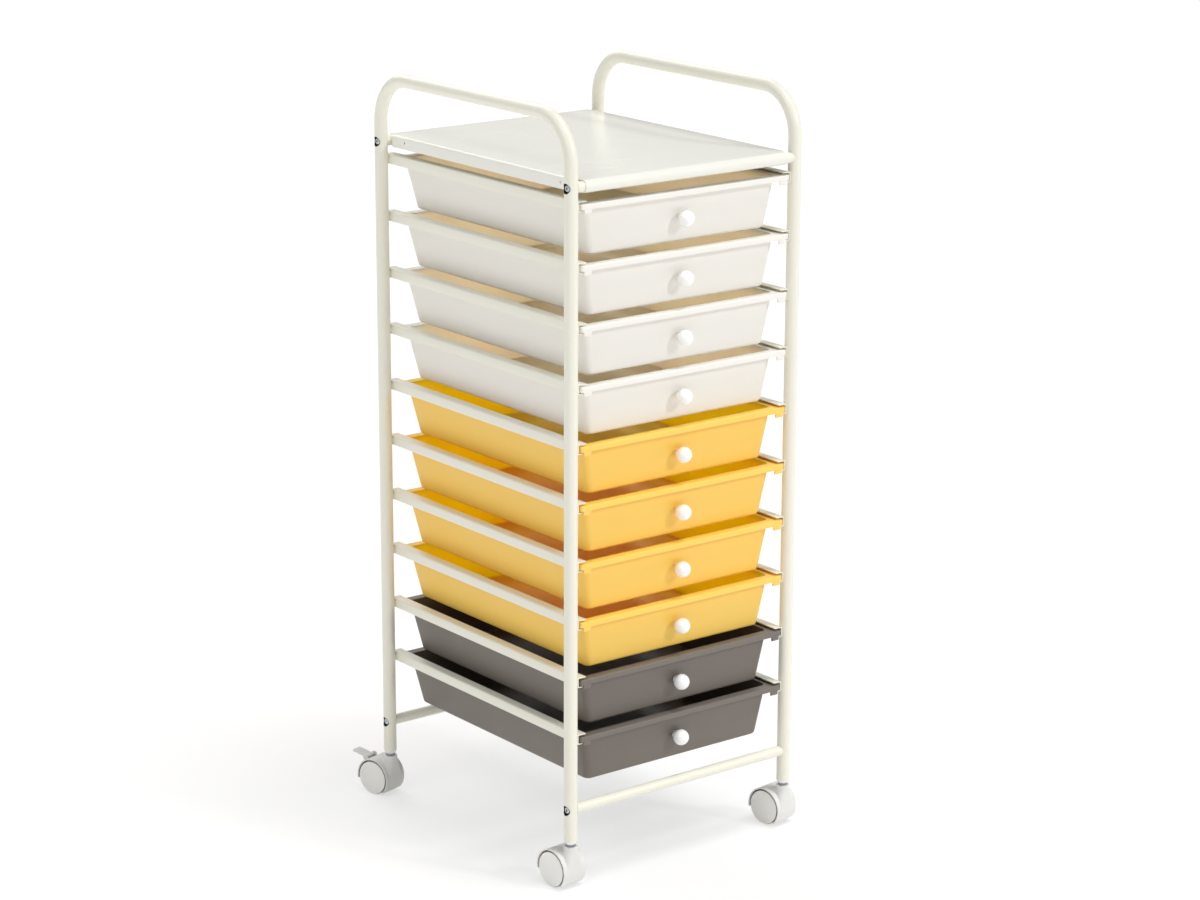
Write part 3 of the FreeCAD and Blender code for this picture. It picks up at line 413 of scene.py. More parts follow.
class Sculpt:
    """A mesh in the making, shaped with bmesh operators."""

    def __init__(self) -> None:
        """Starts an empty mesh."""
        self.mesh = bmesh.new()

    def chain(self, points: Iterable[Vector]) -> list[BMEdge]:
        """Draws a line through points and returns its edges."""
        verts = [self.mesh.verts.new(point) for point in points]
        return [self.mesh.edges.new(pair) for pair in zip(verts, verts[1:])]

    def ring(self, centre: Vector, axis: Vector, radius: float, segments: int) -> list[BMEdge]:
        """Draws a circle about an axis and returns its edges."""
        turn = UP.rotation_difference(axis).to_matrix().to_4x4()
        made = bmesh.ops.create_circle(self.mesh, cap_ends=False, segments=segments, radius=radius,
                                       matrix=Matrix.Translation(centre) @ turn)
        return list({edge for vert in made["verts"] for edge in vert.link_edges})

    def draw_out(self, edges: Sequence[BMEdge], step: Vector) -> list[BMEdge]:
        """Extrudes edges by a step and returns the new ones."""
        made = bmesh.ops.extrude_edge_only(self.mesh, edges=list(edges))["geom"]
        verts = [item for item in made if isinstance(item, BMVert)]
        bmesh.ops.translate(self.mesh, verts=verts, vec=step)
        return [item for item in made if isinstance(item, BMEdge)]

    def sweep(self, edges: Sequence[BMEdge], centre: Vector, axis: Vector, angle: float,
              steps: int) -> list[BMEdge]:
        """Spins edges about an axis.

        Args:
            edges: what is swept.
            centre: a point on the axis.
            axis: direction of the axis.
            angle: degrees.
            steps: facets along the way.

        Returns:
            The edges at the end of the sweep.
        """
        made = bmesh.ops.spin(self.mesh, geom=[*corners_of(edges), *edges], cent=centre, axis=axis,
                              angle=math.radians(angle), steps=steps, use_merge=False)
        return [item for item in made["geom_last"] if isinstance(item, BMEdge)]

    def turn(self, profile: Sequence[tuple[float, float]], centre: Vector, axis: Vector,
             steps: int) -> None:
        """Turns a profile into a round solid, as on a lathe.

        Args:
            profile: distances along the axis and out from it.
            centre: where the distances start.
            axis: direction of the axis.
            steps: facets round the axis.
        """
        out = axis.orthogonal().normalized()
        edges = self.chain(centre + axis * along + out * reach for along, reach in profile)
        bmesh.ops.spin(self.mesh, geom=[*corners_of(edges), *edges], cent=centre, axis=axis,
                       angle=math.tau, steps=steps, use_merge=True)

    def weld(self) -> None:
        """Merges what lies on the same place and turns every face outwards."""
        bmesh.ops.remove_doubles(self.mesh, verts=self.mesh.verts, dist=TOUCH)
        bmesh.ops.recalc_face_normals(self.mesh, faces=self.mesh.faces)

    def cap(self) -> None:
        """Closes open ends."""
        borders = [edge for edge in self.mesh.edges if edge.is_boundary]
        bmesh.ops.holes_fill(self.mesh, edges=borders)

    def face_away(self, inside: Vector) -> None:
        """Turns the faces of an open sheet away from a point in its hollow."""
        self.weld()
        nearest = min(self.mesh.faces,
                      key=lambda face: (face.calc_center_median() - inside).length)
        if nearest.normal.dot(nearest.calc_center_median() - inside) < 0:
            bmesh.ops.reverse_faces(self.mesh, faces=self.mesh.faces)

    def thicken(self, wall: float) -> list[BMFace]:
        """Gives a sheet a wall behind its faces and returns the faces at the back."""
        self.mesh.normal_update()
        made = bmesh.ops.solidify(self.mesh, geom=self.mesh.faces[:], thickness=wall)["geom"]
        return [item for item in made if isinstance(item, BMFace)]

    def soften(self, edges: Iterable[BMEdge], radius: float, steps: int) -> None:
        """Rounds edges."""
        bmesh.ops.bevel(self.mesh, geom=list(edges), offset=radius, offset_type="OFFSET",
                        segments=steps, profile=0.5, affect="EDGES", clamp_overlap=True,
                        material=-1)

    def soften_sharp(self, radius: float, steps: int, over: float) -> None:
        """Rounds every edge that bends by more than an angle in degrees."""
        least = math.radians(over)
        sharp = [edge for edge in self.mesh.edges
                 if edge.is_manifold and edge.calc_face_angle() > least]
        self.soften(sharp, radius, steps)

    def repeat(self, step: Vector, count: int) -> None:
        """Copies everything so far, each copy one step further."""
        first = [*self.mesh.verts, *self.mesh.edges, *self.mesh.faces]
        for number in range(1, count):
            made = bmesh.ops.duplicate(self.mesh, geom=first)["geom"]
            verts = [item for item in made if isinstance(item, BMVert)]
            bmesh.ops.translate(self.mesh, verts=verts, vec=step * number)

    def block(self, low: Vector, high: Vector, radius: float) -> None:
        """Adds a block between two corners, with rounded edges."""
        place = Matrix.Translation((low + high) / 2) @ Matrix.Diagonal((*(high - low), 1.0))
        made = bmesh.ops.create_cube(self.mesh, size=1.0, matrix=place)
        self.soften({edge for vert in made["verts"] for edge in vert.link_edges}, radius, steps=2)

    def bead(self, centre: Vector, reach: Vector) -> None:
        """Adds a rounded bead."""
        place = Matrix.Translation(centre) @ Matrix.Diagonal((*reach, 1.0))
        bmesh.ops.create_icosphere(self.mesh, subdivisions=3, radius=1.0, matrix=place)

    def circle(self, centre: Vector, radius: float) -> list[BMEdge]:
        """The edges that lie at one distance from a point."""
        return [edge for edge in self.mesh.edges
                if all(abs((vert.co - centre).length - radius) < TOUCH for vert in edge.verts)]

    def holder(self, name: str) -> bpy.types.Object:
        """Moves the mesh into an object of its own, for a modifier to work on."""
        data = bpy.data.meshes.new(name)
        self.mesh.to_mesh(data)
        self.mesh.clear()
        return show(name, data)

    def fetch(self, shaped: bpy.types.Object, *tools: bpy.types.Object) -> None:
        """Takes back what an object's modifiers made of it, and clears it away with its tools."""
        graph = bpy.context.evaluated_depsgraph_get()
        result = bpy.data.meshes.new_from_object(shaped.evaluated_get(graph))
        self.mesh.from_mesh(result)
        for data in (result, *(item.data for item in (shaped, *tools))):
            bpy.data.meshes.remove(data)

    def drill(self, tool: "Sculpt") -> None:
        """Cuts another solid out of this one."""
        shaped, cutter = self.holder("drilled"), tool.holder("drill")
        cut = shaped.modifiers.new("drill", "BOOLEAN")
        cut.operation, cut.solver, cut.object = "DIFFERENCE", "EXACT", cutter
        self.fetch(shaped, cutter)

    def cast(self, node: str, voxel: float, passes: int) -> None:
        """Takes a CAD node's shape and softens its edges as a mould does.

        Args:
            node: the CAD node.
            voxel: fineness of the new mesh, metres.
            passes: smoothing passes.
        """
        self.mesh.from_mesh(frame["nodes"][node].data)
        bmesh.ops.remove_doubles(self.mesh, verts=self.mesh.verts, dist=TOUCH)
        pattern = self.holder(f"{node}_pattern")
        remesh = pattern.modifiers.new("even_mesh", "REMESH")
        remesh.mode, remesh.voxel_size = "VOXEL", voxel
        self.fetch(pattern)
        for _ in range(passes):
            bmesh.ops.smooth_vert(self.mesh, verts=self.mesh.verts, factor=0.5,
                                  use_axis_x=True, use_axis_y=True, use_axis_z=True)

    def piece(self, name: str, body: str, finishes: Sequence[bpy.types.Material],
              nodes: Sequence[str] = (), crease: float = 34.0) -> bpy.types.Object:
        """Makes the mesh a piece of the cart.

        Args:
            name: the piece's name.
            body: the CAD body that it rides on.
            finishes: its materials, in slot order.
            nodes: CAD nodes that it stands for.
            crease: edges that bend by more than this, in degrees, stay sharp.

        Returns:
            The new object.
        """
        data = bpy.data.meshes.new(name)
        self.mesh.to_mesh(data)
        self.mesh.free()
        data.shade_smooth()
        data.set_sharp_from_angle(angle=math.radians(crease))
        for finish in finishes:
            data.materials.append(finish)
        made = show(name, data)
        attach(made, body)
        if nodes:
            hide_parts(*nodes)
        LOG.info("%s: %d faces on %s", name, len(data.polygons), body)
        return made


def corners_of(edges: Iterable[BMEdge]) -> list[BMVert]:
    """The vertices of some edges, each once."""
    return list({vert for edge in edges for vert in edge.verts})


def show(name: str, data: bpy.types.ID) -> bpy.types.Object:
    """Puts a mesh, a light or a camera into the scene."""
    made = bpy.data.objects.new(name, data)
    bpy.context.scene.collection.objects.link(made)
    return made


@dataclass
class SideFrame:
    """One bent side tube with its ladder of rails and the welds between them."""

    side: Side
    palette: Palette
    tube_radius: float = 0.008
    tube_facets: int = 64
    bend_radius: float = 0.055
    bend_steps: int = 20
    rails: int = DRAWERS
    rail_height: float = 0.0124
    rail_floor: float = 0.009
    rail_sheet: float = 0.0012
    fold_radius: float = 0.0019
    bead_reach: Triple = (0.0011, 0.0017, 0.0036)
    bead_inset: float = 0.0035
    bead_rise: float = 0.0005
    bead_sway: float = 0.08
    bead_rhythm: float = 2.3
    recess_radius: float = 0.0060
    recess_floor: float = 0.0012
    recess_margin: float = 0.009
    recess_share: float = 0.95
    recess_facets: int = 48

    def build(self) -> None:
        """Makes the tube, the rails and the welds."""
        self.tube()
        self.ladder()
        self.welds()

    def tube(self) -> None:
        """Leg, bend, handle, bend, leg, with a round recess for each bolt head."""
        node = f"{self.side.word}_side_tube"
        low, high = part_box(node)
        x = (low.x + high.x) / 2
        reach = high.y - self.tube_radius
        top = high.z - self.tube_radius
        shoulder = top - self.bend_radius
        run = reach - self.bend_radius
        levels = [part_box(f"{level}_front_bar") for level in ("bottom", "top")]
        bolts = [(foot.z + head.z) / 2 for foot, head in levels]
        margins = (-self.recess_margin, self.recess_margin)
        stops = [low.z, *(z + margin for z in bolts for margin in margins), shoulder]
        steps = [UP * (upper - lower) for lower, upper in zip(stops, stops[1:])]
        sculpt = Sculpt()
        edges = sculpt.ring(Vector((x, reach, low.z)), UP, self.tube_radius, self.tube_facets)
        for step in steps:
            edges = sculpt.draw_out(edges, step)
        edges = sculpt.sweep(edges, Vector((x, run, shoulder)), ALONG_X, 90, self.bend_steps)
        edges = sculpt.draw_out(edges, ALONG_Y * (-2 * run))
        edges = sculpt.sweep(edges, Vector((x, -run, shoulder)), ALONG_X, 90, self.bend_steps)
        for step in reversed(steps):
            edges = sculpt.draw_out(edges, -step)
        sculpt.cap()
        sculpt.weld()
        drill = Sculpt()
        floor, mouth, radius = self.recess_floor, 2 * self.tube_radius, self.recess_radius
        for end in End:
            for z in bolts:
                drill.turn([(floor, 0.0), (floor, radius), (mouth, radius), (mouth, 0.0)],
                           Vector((x, end.value * reach, z)), ALONG_X * self.side.value,
                           self.recess_facets)
        drill.weld()
        sculpt.drill(drill)
        # Faces deep in a bolt recess take the near-black painted shade.
        for face in sculpt.mesh.faces:
            middle = face.calc_center_median()
            off_axis = math.hypot(middle.x - x, abs(middle.y) - reach)
            sunk = off_axis < self.recess_share * self.tube_radius
            beside = min(abs(middle.z - z) for z in bolts) < self.recess_margin
            face.material_index = int(sunk and beside)
        sculpt.piece(f"{self.side.word}_leg_tube", "frame",
                     [self.palette.paint, self.palette.bore], [node])

    def ladder(self) -> None:
        """Ten folded channels, open towards the trays."""
        node = f"{self.side.word}_rails"
        low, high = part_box(node)
        inward = -self.side.value
        web = low.x if self.side is Side.LEFT else high.x
        lip = web + inward * (high.x - low.x)
        shelf = web + inward * self.rail_floor
        foot = high.z - self.rail_height
        pitch = (foot - low.z) / (self.rails - 1)
        sculpt = Sculpt()
        section = [(lip, high.z), (web, high.z), (web, foot), (shelf, foot)]
        edges = sculpt.chain(Vector((x, low.y, z)) for x, z in section)
        sculpt.draw_out(edges, ALONG_Y * (high.y - low.y))
        folds = [edge for edge in sculpt.mesh.edges if len(edge.link_faces) == 2]
        sculpt.soften(folds, self.fold_radius, steps=5)
        sculpt.face_away(Vector((shelf, 0, (foot + high.z) / 2)))
        sculpt.thicken(self.rail_sheet)
        sculpt.repeat(UP * -pitch, self.rails)
        sculpt.piece(f"{self.side.word}_rail_ladder", "frame", [self.palette.paint],
                     [node])

    def welds(self) -> None:
        """A short bead where each rail meets a leg."""
        low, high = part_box(f"{self.side.word}_rails")
        _, tube_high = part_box(f"{self.side.word}_side_tube")
        web = low.x if self.side is Side.LEFT else high.x
        leg = tube_high.y - self.tube_radius
        first = high.z - self.rail_height / 2
        pitch = (high.z - low.z - self.rail_height) / (self.rails - 1)
        sculpt = Sculpt()
        for number in range(self.rails):
            for end in End:
                swell = 1 + self.bead_sway * math.sin(self.bead_rhythm * number + end.value)
                place = Vector((web + self.side.value * self.bead_rise,
                                end.value * (leg - self.bead_inset), first - pitch * number))
                sculpt.bead(place, Vector(self.bead_reach) * swell)
        sculpt.piece(f"{self.side.word}_weld_beads", "frame", [self.palette.paint])


@dataclass
class TopPanel:
    """Steel panel, rolled round the upper cross bars, with its sides turned down."""

    palette: Palette
    sheet: float = 0.0009
    roll_cut: float = 0.0055
    end_cut: float = 0.008
    bend: float = 0.0025
    bend_steps: int = 6
    flange: float = 0.0145
    roll_angle: float = 330.0
    roll_steps: int = 44
    hole_radius: float = 0.0015
    hole_facets: int = 20
    hole_inset: float = 0.034
    hole_drop: float = 0.007

    def build(self) -> None:
        """Makes the panel as one folded sheet."""
        low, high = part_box("top_panel")
        bar_low, bar_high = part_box("top_rear_bar")
        bar = (bar_low + bar_high) / 2
        half, run = high.x - self.roll_cut, bar.y - self.end_cut
        sculpt = Sculpt()
        middle = sculpt.chain([Vector((-half, 0, high.z)), Vector((half, 0, high.z))])
        for end in End:
            edges = sculpt.draw_out(middle, ALONG_Y * (end.value * run))
            edges = sculpt.draw_out(edges, ALONG_Y * (end.value * self.end_cut))
            axis = Vector((0, end.value * bar.y, bar.z))
            sculpt.sweep(edges, axis, ALONG_X, -end.value * self.roll_angle, self.roll_steps)
        for side in Side:
            borders = [edge for edge in sculpt.mesh.edges if edge.is_boundary
                       and all(abs(vert.co.x - side.value * half) < TOUCH
                               and abs(vert.co.y) < run + TOUCH
                               and abs(vert.co.z - high.z) < TOUCH for vert in edge.verts)]
            self.turn_down(sculpt, borders, side, high, bar.y - self.hole_inset)
        sculpt.face_away(Vector((0, 0, low.z)))
        sculpt.thicken(self.sheet)
        sculpt.piece("panel_sheet", "frame", [self.palette.panel], ["top_panel"])

    def turn_down(self, sculpt: Sculpt, borders: Sequence[BMEdge], side: Side, high: Vector,
                  hole: float) -> None:
        """Folds one side down and pierces its two holes.

        Args:
            sculpt: the sheet so far.
            borders: its edges on this side.
            side: which side.
            high: the panel's highest corner.
            hole: the holes' distance from the middle, along Y.
        """
        edges = sculpt.draw_out(borders, ALONG_X * (side.value * (self.roll_cut - self.bend)))
        centre = Vector((side.value * (high.x - self.bend), 0, high.z - self.bend))
        edges = sculpt.sweep(edges, centre, ALONG_Y, side.value * 90, self.bend_steps)
        edges = sculpt.draw_out(edges, UP * (self.bend - self.flange))
        for edge in edges:
            face = edge.link_faces[0]
            end = math.copysign(1.0, face.calc_center_median().y)
            outline = list(face.edges)
            bmesh.ops.delete(sculpt.mesh, geom=[face], context="FACES_ONLY")
            place = Vector((side.value * high.x, end * hole, high.z - self.hole_drop))
            rim = sculpt.ring(place, ALONG_X, self.hole_radius, self.hole_facets)
            bmesh.ops.bridge_loops(sculpt.mesh, edges=[*outline, *rim])


@dataclass
class CrossBars:
    """Four straight tubes across the cart, their ends shaped to the legs."""

    palette: Palette
    radius: float = 0.00635
    facets: int = 36
    leg_radius: float = 0.0082
    names: tuple[str, ...] = ("top_front_bar", "top_rear_bar",
                              "bottom_front_bar", "bottom_rear_bar")

    def build(self) -> None:
        """Makes the bars."""
        leg = sum((corner.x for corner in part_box("right_side_tube")), 0.0) / 2
        for name in self.names:
            low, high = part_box(name)
            y, z = (low.y + high.y) / 2, (low.z + high.z) / 2
            sculpt = Sculpt()
            start = sculpt.ring(Vector((-leg, y, z)), ALONG_X, self.radius, self.facets)
            far = sculpt.draw_out(start, ALONG_X * (2 * leg))
            for vert in corners_of([*start, *far]):
                cope = math.sqrt(self.leg_radius ** 2 - (vert.co.y - y) ** 2)
                vert.co.x -= math.copysign(cope, vert.co.x)
            sculpt.cap()
            sculpt.weld()
            sculpt.piece(f"{name}_tube", "frame", [self.palette.paint], [name])


@dataclass
class FrameBolts:
    """Bolts through the legs: round heads, sunk in the tubes, with hexagon recesses."""

    palette: Palette
    head_radius: float = 0.0044
    head_round: float = 0.0018
    head_facets: int = 36
    key_radius: float = 0.0017
    key_sides: int = 6
    key_mouth: float = 1.12
    key_depth: float = 0.0014
    seat: float = 0.0015

    def build(self) -> None:
        """Makes the eight bolt heads as one piece."""
        sculpt = Sculpt()
        _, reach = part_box("frame_bolts")
        leg = sum(corner.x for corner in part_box("right_side_tube")) / 2
        for bar in CrossBars.names:
            low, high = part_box(bar)
            middle = (low + high) / 2
            for side in Side:
                place = Vector((side.value * leg, middle.y, middle.z))
                self.head(sculpt, place, ALONG_X * side.value, reach.x - leg)
        sculpt.weld()
        sculpt.piece("frame_bolt_heads", "frame", [self.palette.zinc], ["frame_bolts"])

    def head(self, sculpt: Sculpt, leg: Vector, out: Vector, crown: float) -> None:
        """Adds one bolt head.

        Args:
            sculpt: the piece so far.
            leg: the leg's axis at the bolt.
            out: direction away from the cart.
            crown: top of the head from the leg's axis.
        """
        top = leg + out * crown
        mouth = self.key_mouth * self.key_radius
        sculpt.turn([(self.seat, 0.0), (self.seat, self.head_radius), (crown, self.head_radius),
                     (crown, mouth)], leg, out, self.head_facets)
        sculpt.soften(sculpt.circle(top, self.head_radius), self.head_round, steps=4)
        key = sculpt.ring(top, out, self.key_radius, self.key_sides)
        bmesh.ops.bridge_loops(sculpt.mesh, edges=[*sculpt.circle(top, mouth), *key])
        floor = sculpt.draw_out(key, out * -self.key_depth)
        bmesh.ops.contextual_create(sculpt.mesh, geom=floor)


@dataclass
class LegSockets:
    """Plastic collars under the leg ends, narrower towards the casters."""

    palette: Palette
    radius: float = 0.008
    foot_radius: float = 0.0065
    bore: float = 0.0045
    edge: float = 0.0005
    facets: int = 40

    def build(self) -> None:
        """Makes the four collars as one piece."""
        low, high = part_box("leg_sockets")
        tube_low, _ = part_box("right_side_tube")
        height, edge = tube_low.z - low.z, self.edge
        profile = [(0.0, self.bore), (0.0, self.foot_radius - edge), (edge, self.foot_radius),
                   (height - edge, self.radius), (height, self.radius - edge), (height, self.bore)]
        sculpt = Sculpt()
        x, y = high.x - self.radius, high.y - self.radius
        for end in End:
            for side in Side:
                leg = Vector((side.value * x, end.value * y, low.z))
                sculpt.turn([*profile, profile[0]], leg, UP, self.facets)
        sculpt.weld()
        sculpt.piece("leg_end_collars", "frame", [self.palette.collar],
                     ["leg_sockets"])


@dataclass
class Caster:
    """A twin-wheel caster: hood, two closed wheels and, at the rear, a brake lever."""

    end: End
    side: Side
    palette: Palette
    wheel_width: float = 0.014
    wheel_radius: float = 0.0218
    wheel_gap: float = 0.003
    wheel_inset: float = 0.0004
    face_radius: float = 0.0210
    rebate: float = 0.0016
    edge_round: float = 0.0005
    face_dish: float = 0.0003
    dish_rim: float = 0.92
    dish_foot: float = 0.88
    wheel_facets: int = 72
    sharp: float = 60.0
    hood_voxel: float = 0.00042
    hood_passes: int = 3
    lever_voxel: float = 0.0003
    lever_passes: int = 6
    crease: float = 60.0

    @property
    def name(self) -> str:
        """The corner of the cart, as node names spell it."""
        return f"{self.end.word}_{self.side.word}"

    def build(self) -> None:
        """Makes the hood, the wheels and the lever."""
        hood = Sculpt()
        hood.cast(f"{self.name}_caster_hood", self.hood_voxel, self.hood_passes)
        hood.piece(f"{self.name}_hood_shell", f"{self.name}_caster",
                   [self.palette.caster], [f"{self.name}_caster_hood"], self.crease)
        for row in ("outer", "inner"):
            self.wheel(f"{self.name}_{row}_wheel")
        if self.end is End.REAR:
            body = f"{self.name}_brake_lever"
            lever = Sculpt()
            lever.cast(body, self.lever_voxel, self.lever_passes)
            lever.piece(f"{self.name}_brake_pedal", body, [self.palette.caster],
                        [body], self.crease)

    def wheel(self, node: str) -> None:
        """One wheel with a closed, slightly dished face, set back from its tread.

        Args:
            node: the wheel's CAD node, which is also its body.
        """
        joint = next(item for item in frame["joints"] if item["child"] == node)
        hub, axis = Vector(joint["pos_m"]), Vector(joint["axis"])
        low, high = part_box(node)
        out = axis if ((low + high) / 2 - hub).dot(axis) > 0 else -axis
        inner, outer = self.wheel_gap, self.wheel_gap + self.wheel_width - self.wheel_inset
        tread, disc = self.wheel_radius, self.face_radius
        shoulder, dish = outer - self.rebate, outer - self.face_dish
        profile = [(inner, 0.0), (inner, tread), (shoulder, tread), (shoulder, disc), (outer, disc),
                   (outer, self.dish_rim * disc), (dish, self.dish_foot * disc), (dish, 0.0)]
        sculpt = Sculpt()
        sculpt.turn(profile, hub, out, self.wheel_facets)
        sculpt.weld()
        sculpt.soften_sharp(self.edge_round, steps=4, over=self.sharp)
        for face in sculpt.mesh.faces:
            along = (face.calc_center_median() - hub).dot(out)
            face.material_index = int(along < outer - self.edge_round)
        sculpt.piece(f"{node}_disc", node, [self.palette.wheel, self.palette.tread],
                     [node])


@dataclass(frozen=True)
class Loop:
    """A rounded rectangle round a tray, at one height."""

    height: float
    half_width: float
    front: float
    rear: float
    corner: float

    def arc(self, point: Vector) -> Vector:
        """Middle of the corner arc nearest to a point, on the level."""
        rearward = point.y > (self.front + self.rear) / 2
        y = self.rear - self.corner if rearward else self.front + self.corner
        return Vector((math.copysign(self.half_width - self.corner, point.x), y, 0.0))

    def carry(self, point: Vector, onto: "Loop") -> Vector:
        """Where a point of this loop lies on another loop."""
        level = Vector((point.x, point.y, 0.0)) - self.arc(point)
        return onto.arc(point) + level * (onto.corner / self.corner) + UP * onto.height


@dataclass
class Drawer:
    """A moulded tray with a ball knob."""

    number: int
    palette: Palette
    depth: float = 0.0626
    wall: float = 0.0021
    corner: float = 0.009
    corner_steps: int = 8
    rim_front: float = 0.011
    rim_side: float = 0.0104
    rim_rear: float = 0.010
    rim_corner: float = 0.003
    front_taper: float = 0.006
    side_taper: float = 0.011
    rear_taper: float = 0.0115
    lip_height: float = 0.006
    runner_height: float = 0.0072
    foot_round: float = 0.0022
    mouth_round: float = 0.0009
    rim_round: float = 0.0011
    round_steps: int = 4
    tab_width: float = 0.0105
    tab_inset: float = 0.004
    tab_foot: float = 0.011
    tab_lap: float = 0.0003
    tab_setback: float = 0.0001
    tab_round: float = 0.0003
    ball_radius: float = 0.0095
    ball_steps: int = 22
    ball_facets: int = 48
    neck_radius: float = 0.0045
    neck_length: float = 0.0035
    last_cream: int = 4
    last_yellow: int = 8

    @property
    def body(self) -> str:
        """The CAD body of this drawer."""
        return f"drawer_{self.number:02d}"

    @property
    def slot(self) -> Slot:
        """Which colour this drawer has, from the top down."""
        if self.number <= self.last_cream:
            return Slot.CREAM
        return Slot.YELLOW if self.number <= self.last_yellow else Slot.GREY

    def build(self) -> None:
        """Makes the tray and its knob."""
        self.tray()
        self.knob()

    def tray(self) -> None:
        """Floor, leaning walls, rim and lip as one sheet with a wall behind it."""
        low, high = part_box(f"{self.body}_tray")
        inside = self.corner - self.wall
        mouth = Loop(high.z, high.x - self.rim_side - self.wall, low.y + self.rim_front + self.wall,
                     high.y - self.rim_rear - self.wall, inside)
        floor = Loop(low.z + self.wall, mouth.half_width - self.side_taper,
                     mouth.front + self.front_taper, mouth.rear - self.rear_taper, inside)
        rim = Loop(high.z, high.x, low.y, high.y, self.rim_corner)
        lip = Loop(high.z - self.lip_height, high.x, low.y, high.y, self.rim_corner)
        sculpt = Sculpt()
        size = Matrix.Diagonal((2 * floor.half_width, floor.rear - floor.front, 1.0, 1.0))
        middle = Matrix.Translation((0.0, (floor.rear + floor.front) / 2, floor.height))
        made = bmesh.ops.create_grid(sculpt.mesh, x_segments=1, y_segments=1, size=0.5,
                                     matrix=middle @ size)
        bmesh.ops.bevel(sculpt.mesh, geom=made["verts"], offset=inside, offset_type="OFFSET",
                        segments=self.corner_steps, profile=0.5, affect="VERTICES", material=-1)
        rings = [[edge for edge in sculpt.mesh.edges if edge.is_boundary]]
        for here, onto in ((floor, mouth), (mouth, rim), (rim, lip)):
            rings.append(sculpt.draw_out(rings[-1], Vector()))
            for vert in corners_of(rings[-1]):
                vert.co = here.carry(vert.co, onto)
        for vert in corners_of(rings[-1]):
            if vert.co.y > 0:
                vert.co.z = high.z - self.runner_height
        # Inner wall faces take the walls' inside colour and inner floor faces the floor's, both
        # with painted warm shade; the back faces keep the outside plastic.
        for face in sculpt.mesh.faces:
            centre = face.calc_center_median()
            deep = centre.z < high.z - LEVEL and abs(centre.x) <= mouth.half_width
            inner = deep and mouth.front <= centre.y <= mouth.rear
            face.material_index = int(inner) + int(inner and centre.z < floor.height + LEVEL)
        for edges, radius in zip(rings, (self.foot_round, self.mouth_round, self.rim_round)):
            sculpt.soften(edges, radius, self.round_steps)
        sculpt.face_away(Vector((0.0, 0.0, low.z)))
        for face in sculpt.thicken(self.wall):
            face.material_index = 0
        for side in Side:
            outer = side.value * (high.x - self.tab_inset)
            inner = outer - side.value * self.tab_width
            lower, upper = high.z - self.tab_foot, high.z - self.lip_height + self.tab_lap
            sculpt.block(Vector((min(inner, outer), low.y + self.tab_setback, lower)),
                         Vector((max(inner, outer), low.y + self.wall, upper)), self.tab_round)
        sculpt.piece(f"{self.body}_tray_shell", self.body, self.palette.trays[self.slot],
                     [f"{self.body}_tray"], crease=40.0)

    def knob(self) -> None:
        """A ball on a short neck, square to the leaning front wall."""
        low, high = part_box(f"{self.body}_knob")
        lean = math.atan2(self.front_taper, self.depth)
        ball = Vector((0.0, low.y + self.ball_radius, (low.z + high.z) / 2))
        axis = Vector((0.0, -math.cos(lean), -math.sin(lean)))
        sculpt = Sculpt()
        pole = sculpt.mesh.verts.new(ball + axis * self.ball_radius)
        back = 180.0 - math.degrees(math.asin(self.neck_radius / self.ball_radius))
        made = bmesh.ops.spin(sculpt.mesh, geom=[pole], cent=ball, axis=ALONG_X,
                              angle=math.radians(back), steps=self.ball_steps)
        tail = [item for item in made["geom_last"] if isinstance(item, BMVert)]
        foot = bmesh.ops.extrude_vert_indiv(sculpt.mesh, verts=tail)["verts"]
        bmesh.ops.translate(sculpt.mesh, verts=foot, vec=axis * -self.neck_length)
        bmesh.ops.spin(sculpt.mesh, geom=[*sculpt.mesh.verts, *sculpt.mesh.edges], cent=ball,
                       axis=axis, angle=math.tau, steps=self.ball_facets, use_merge=True)
        sculpt.cap()
        sculpt.weld()
        sculpt.piece(f"{self.body}_ball_knob", self.body, [self.palette.knob],
                     [f"{self.body}_knob"])


@dataclass(frozen=True)
class Lamp:
    """A distant lamp: where its light comes from, its power, and how broad it is in degrees."""

    name: str
    source: Triple
    power: float
    spread: float

    def build(self) -> None:
        """Hangs the lamp."""
        light = bpy.data.lights.new(self.name, "SUN")
        light.energy, light.angle = self.power, math.radians(self.spread)
        made = show(self.name, light)
        made.rotation_euler = (-Vector(self.source)).to_track_quat("-Z", "Y").to_euler()


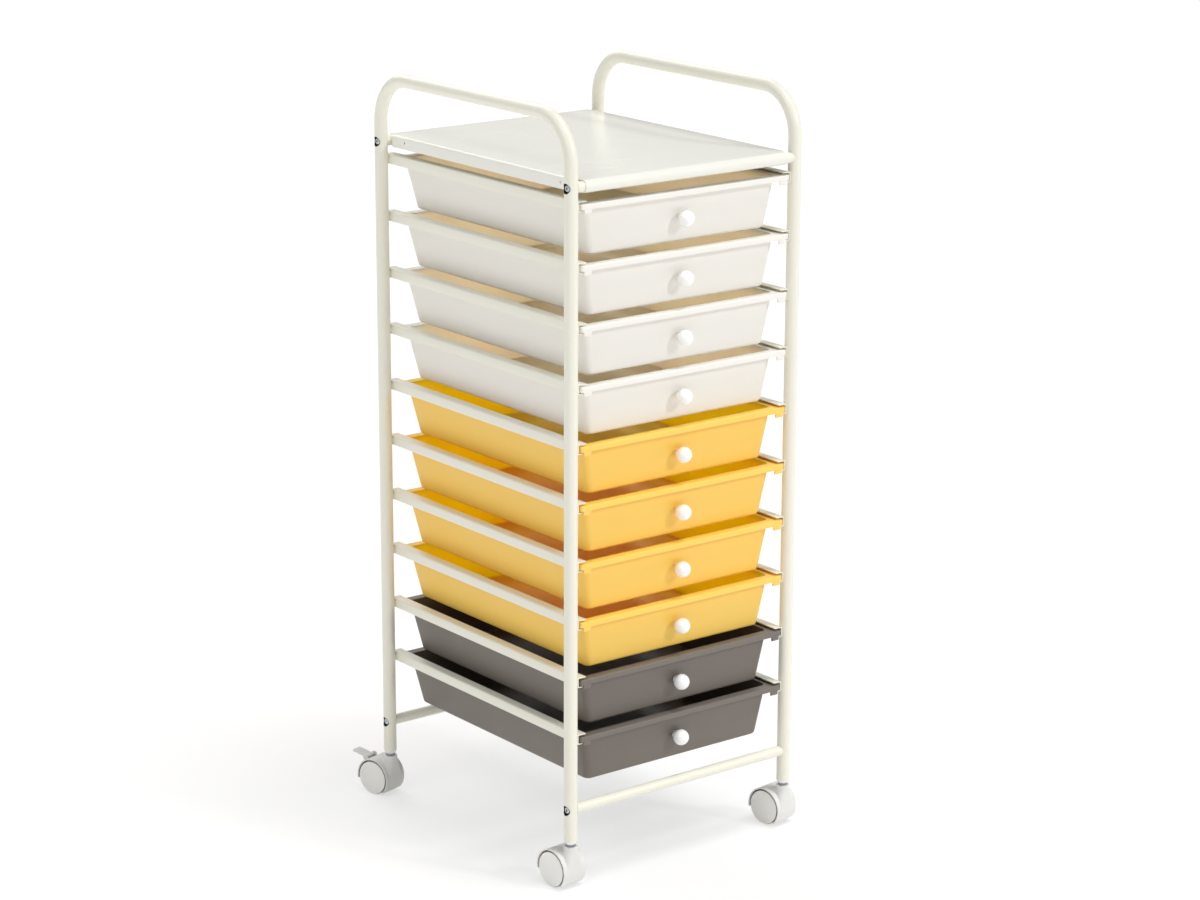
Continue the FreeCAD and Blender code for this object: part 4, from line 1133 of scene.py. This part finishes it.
@dataclass
class Studio:
    """White floor, soft light and a camera at the photograph's viewing angle."""

    eye: Triple = (-2.2836, -2.9890, 1.5003)
    forward: Triple = (0.589, 0.7632, -0.2656)
    right: Triple = (0.7922, -0.6103, 0.003)
    lens: float = 96.7
    sensor: float = 36.0
    sight: float = 200.0
    floor_size: float = 60.0
    sky: float = 0.34
    lamps: tuple[Lamp, ...] = (
        Lamp("overhead_lamp", (0.18, -0.26, 0.95), 1.35, 24.0),
        Lamp("left_lamp", (-0.62, -0.20, 0.76), 0.52, 24.0),
        Lamp("front_lamp", (0.42, -0.77, 0.48), 0.88, 8.0),
        Lamp("rear_lamp", (0.15, 0.76, 0.62), 1.0, 45.0),
    )

    def build(self) -> None:
        """Makes the stage, the lamps and the camera."""
        self.floor()
        self.world()
        for lamp in self.lamps:
            lamp.build()
        self.camera()

    def floor(self) -> None:
        """A wide sheet of paper on the ground."""
        sheet = bmesh.new()
        bmesh.ops.create_grid(sheet, x_segments=1, y_segments=1, size=self.floor_size / 2)
        data = bpy.data.meshes.new("studio_floor")
        sheet.to_mesh(data)
        sheet.free()
        data.materials.append(Backdrop().material())
        made = show("studio_floor", data)

    def world(self) -> None:
        """Even soft light, white where the camera sees past the floor."""
        graph = Graph(bpy.data.worlds.new("soft_room"))
        seen = graph.out(graph.node("ShaderNodeLightPath", {}), "Is Camera Ray")
        light = graph.node("ShaderNodeBackground", {
            "Color": (1.0, 1.0, 1.0, 1.0), "Strength": self.sky + seen * (1.0 - self.sky),
        })
        bpy.context.scene.world = graph.close(light, "Background")

    def camera(self) -> None:
        """The camera, set by its place, its direction and its right-hand side."""
        ahead, right = Vector(self.forward).normalized(), Vector(self.right)
        right = (right - ahead * right.dot(ahead)).normalized()
        above = right.cross(ahead)
        turn = Matrix((right, above, -ahead)).transposed()
        data = bpy.data.cameras.new("photo_camera")
        data.lens, data.sensor_width, data.sensor_fit = self.lens, self.sensor, "HORIZONTAL"
        data.clip_end = self.sight
        made = show("photo_camera", data)
        made.matrix_world = Matrix.Translation(self.eye) @ turn.to_4x4()
        bpy.context.scene.camera = made


def finish_steel(palette: Palette) -> None:
    """Gives the steel pins that stay as CAD nodes their finish."""
    axles = [f"{end.word}_{side.word}_axle" for end in End for side in Side]
    screws = [f"drawer_{number:02d}_knob_screw" for number in range(1, DRAWERS + 1)]
    # The caster stems take the darkened steel, whose colour carries painted shade.
    finishes = {"caster_stems": palette.stem, **{pin: palette.zinc for pin in axles + screws}}
    for node, finish in finishes.items():
        materials = frame["nodes"][node].data.materials
        materials.clear()
        materials.append(finish)
        LOG.info("%s: %s", node, finish.name)


def main() -> None:
    """Builds the cart, piece by piece, and the studio round it."""
    logging.basicConfig(level=logging.INFO, format="%(name)s %(message)s")
    bpy.context.scene.view_settings.view_transform = "Standard"
    bpy.context.scene.cycles.max_bounces = BOUNCES
    bpy.context.scene.cycles.diffuse_bounces = DIFFUSE_BOUNCES
    palette = Palette()
    for side in Side:
        SideFrame(side, palette).build()
    for assembly in (TopPanel, CrossBars, FrameBolts, LegSockets):
        assembly(palette).build()
    for end in End:
        for side in Side:
            Caster(end, side, palette).build()
    for number in range(1, DRAWERS + 1):
        Drawer(number, palette).build()
    finish_steel(palette)
    Studio().build()


if __name__ == "__main__":
    main()
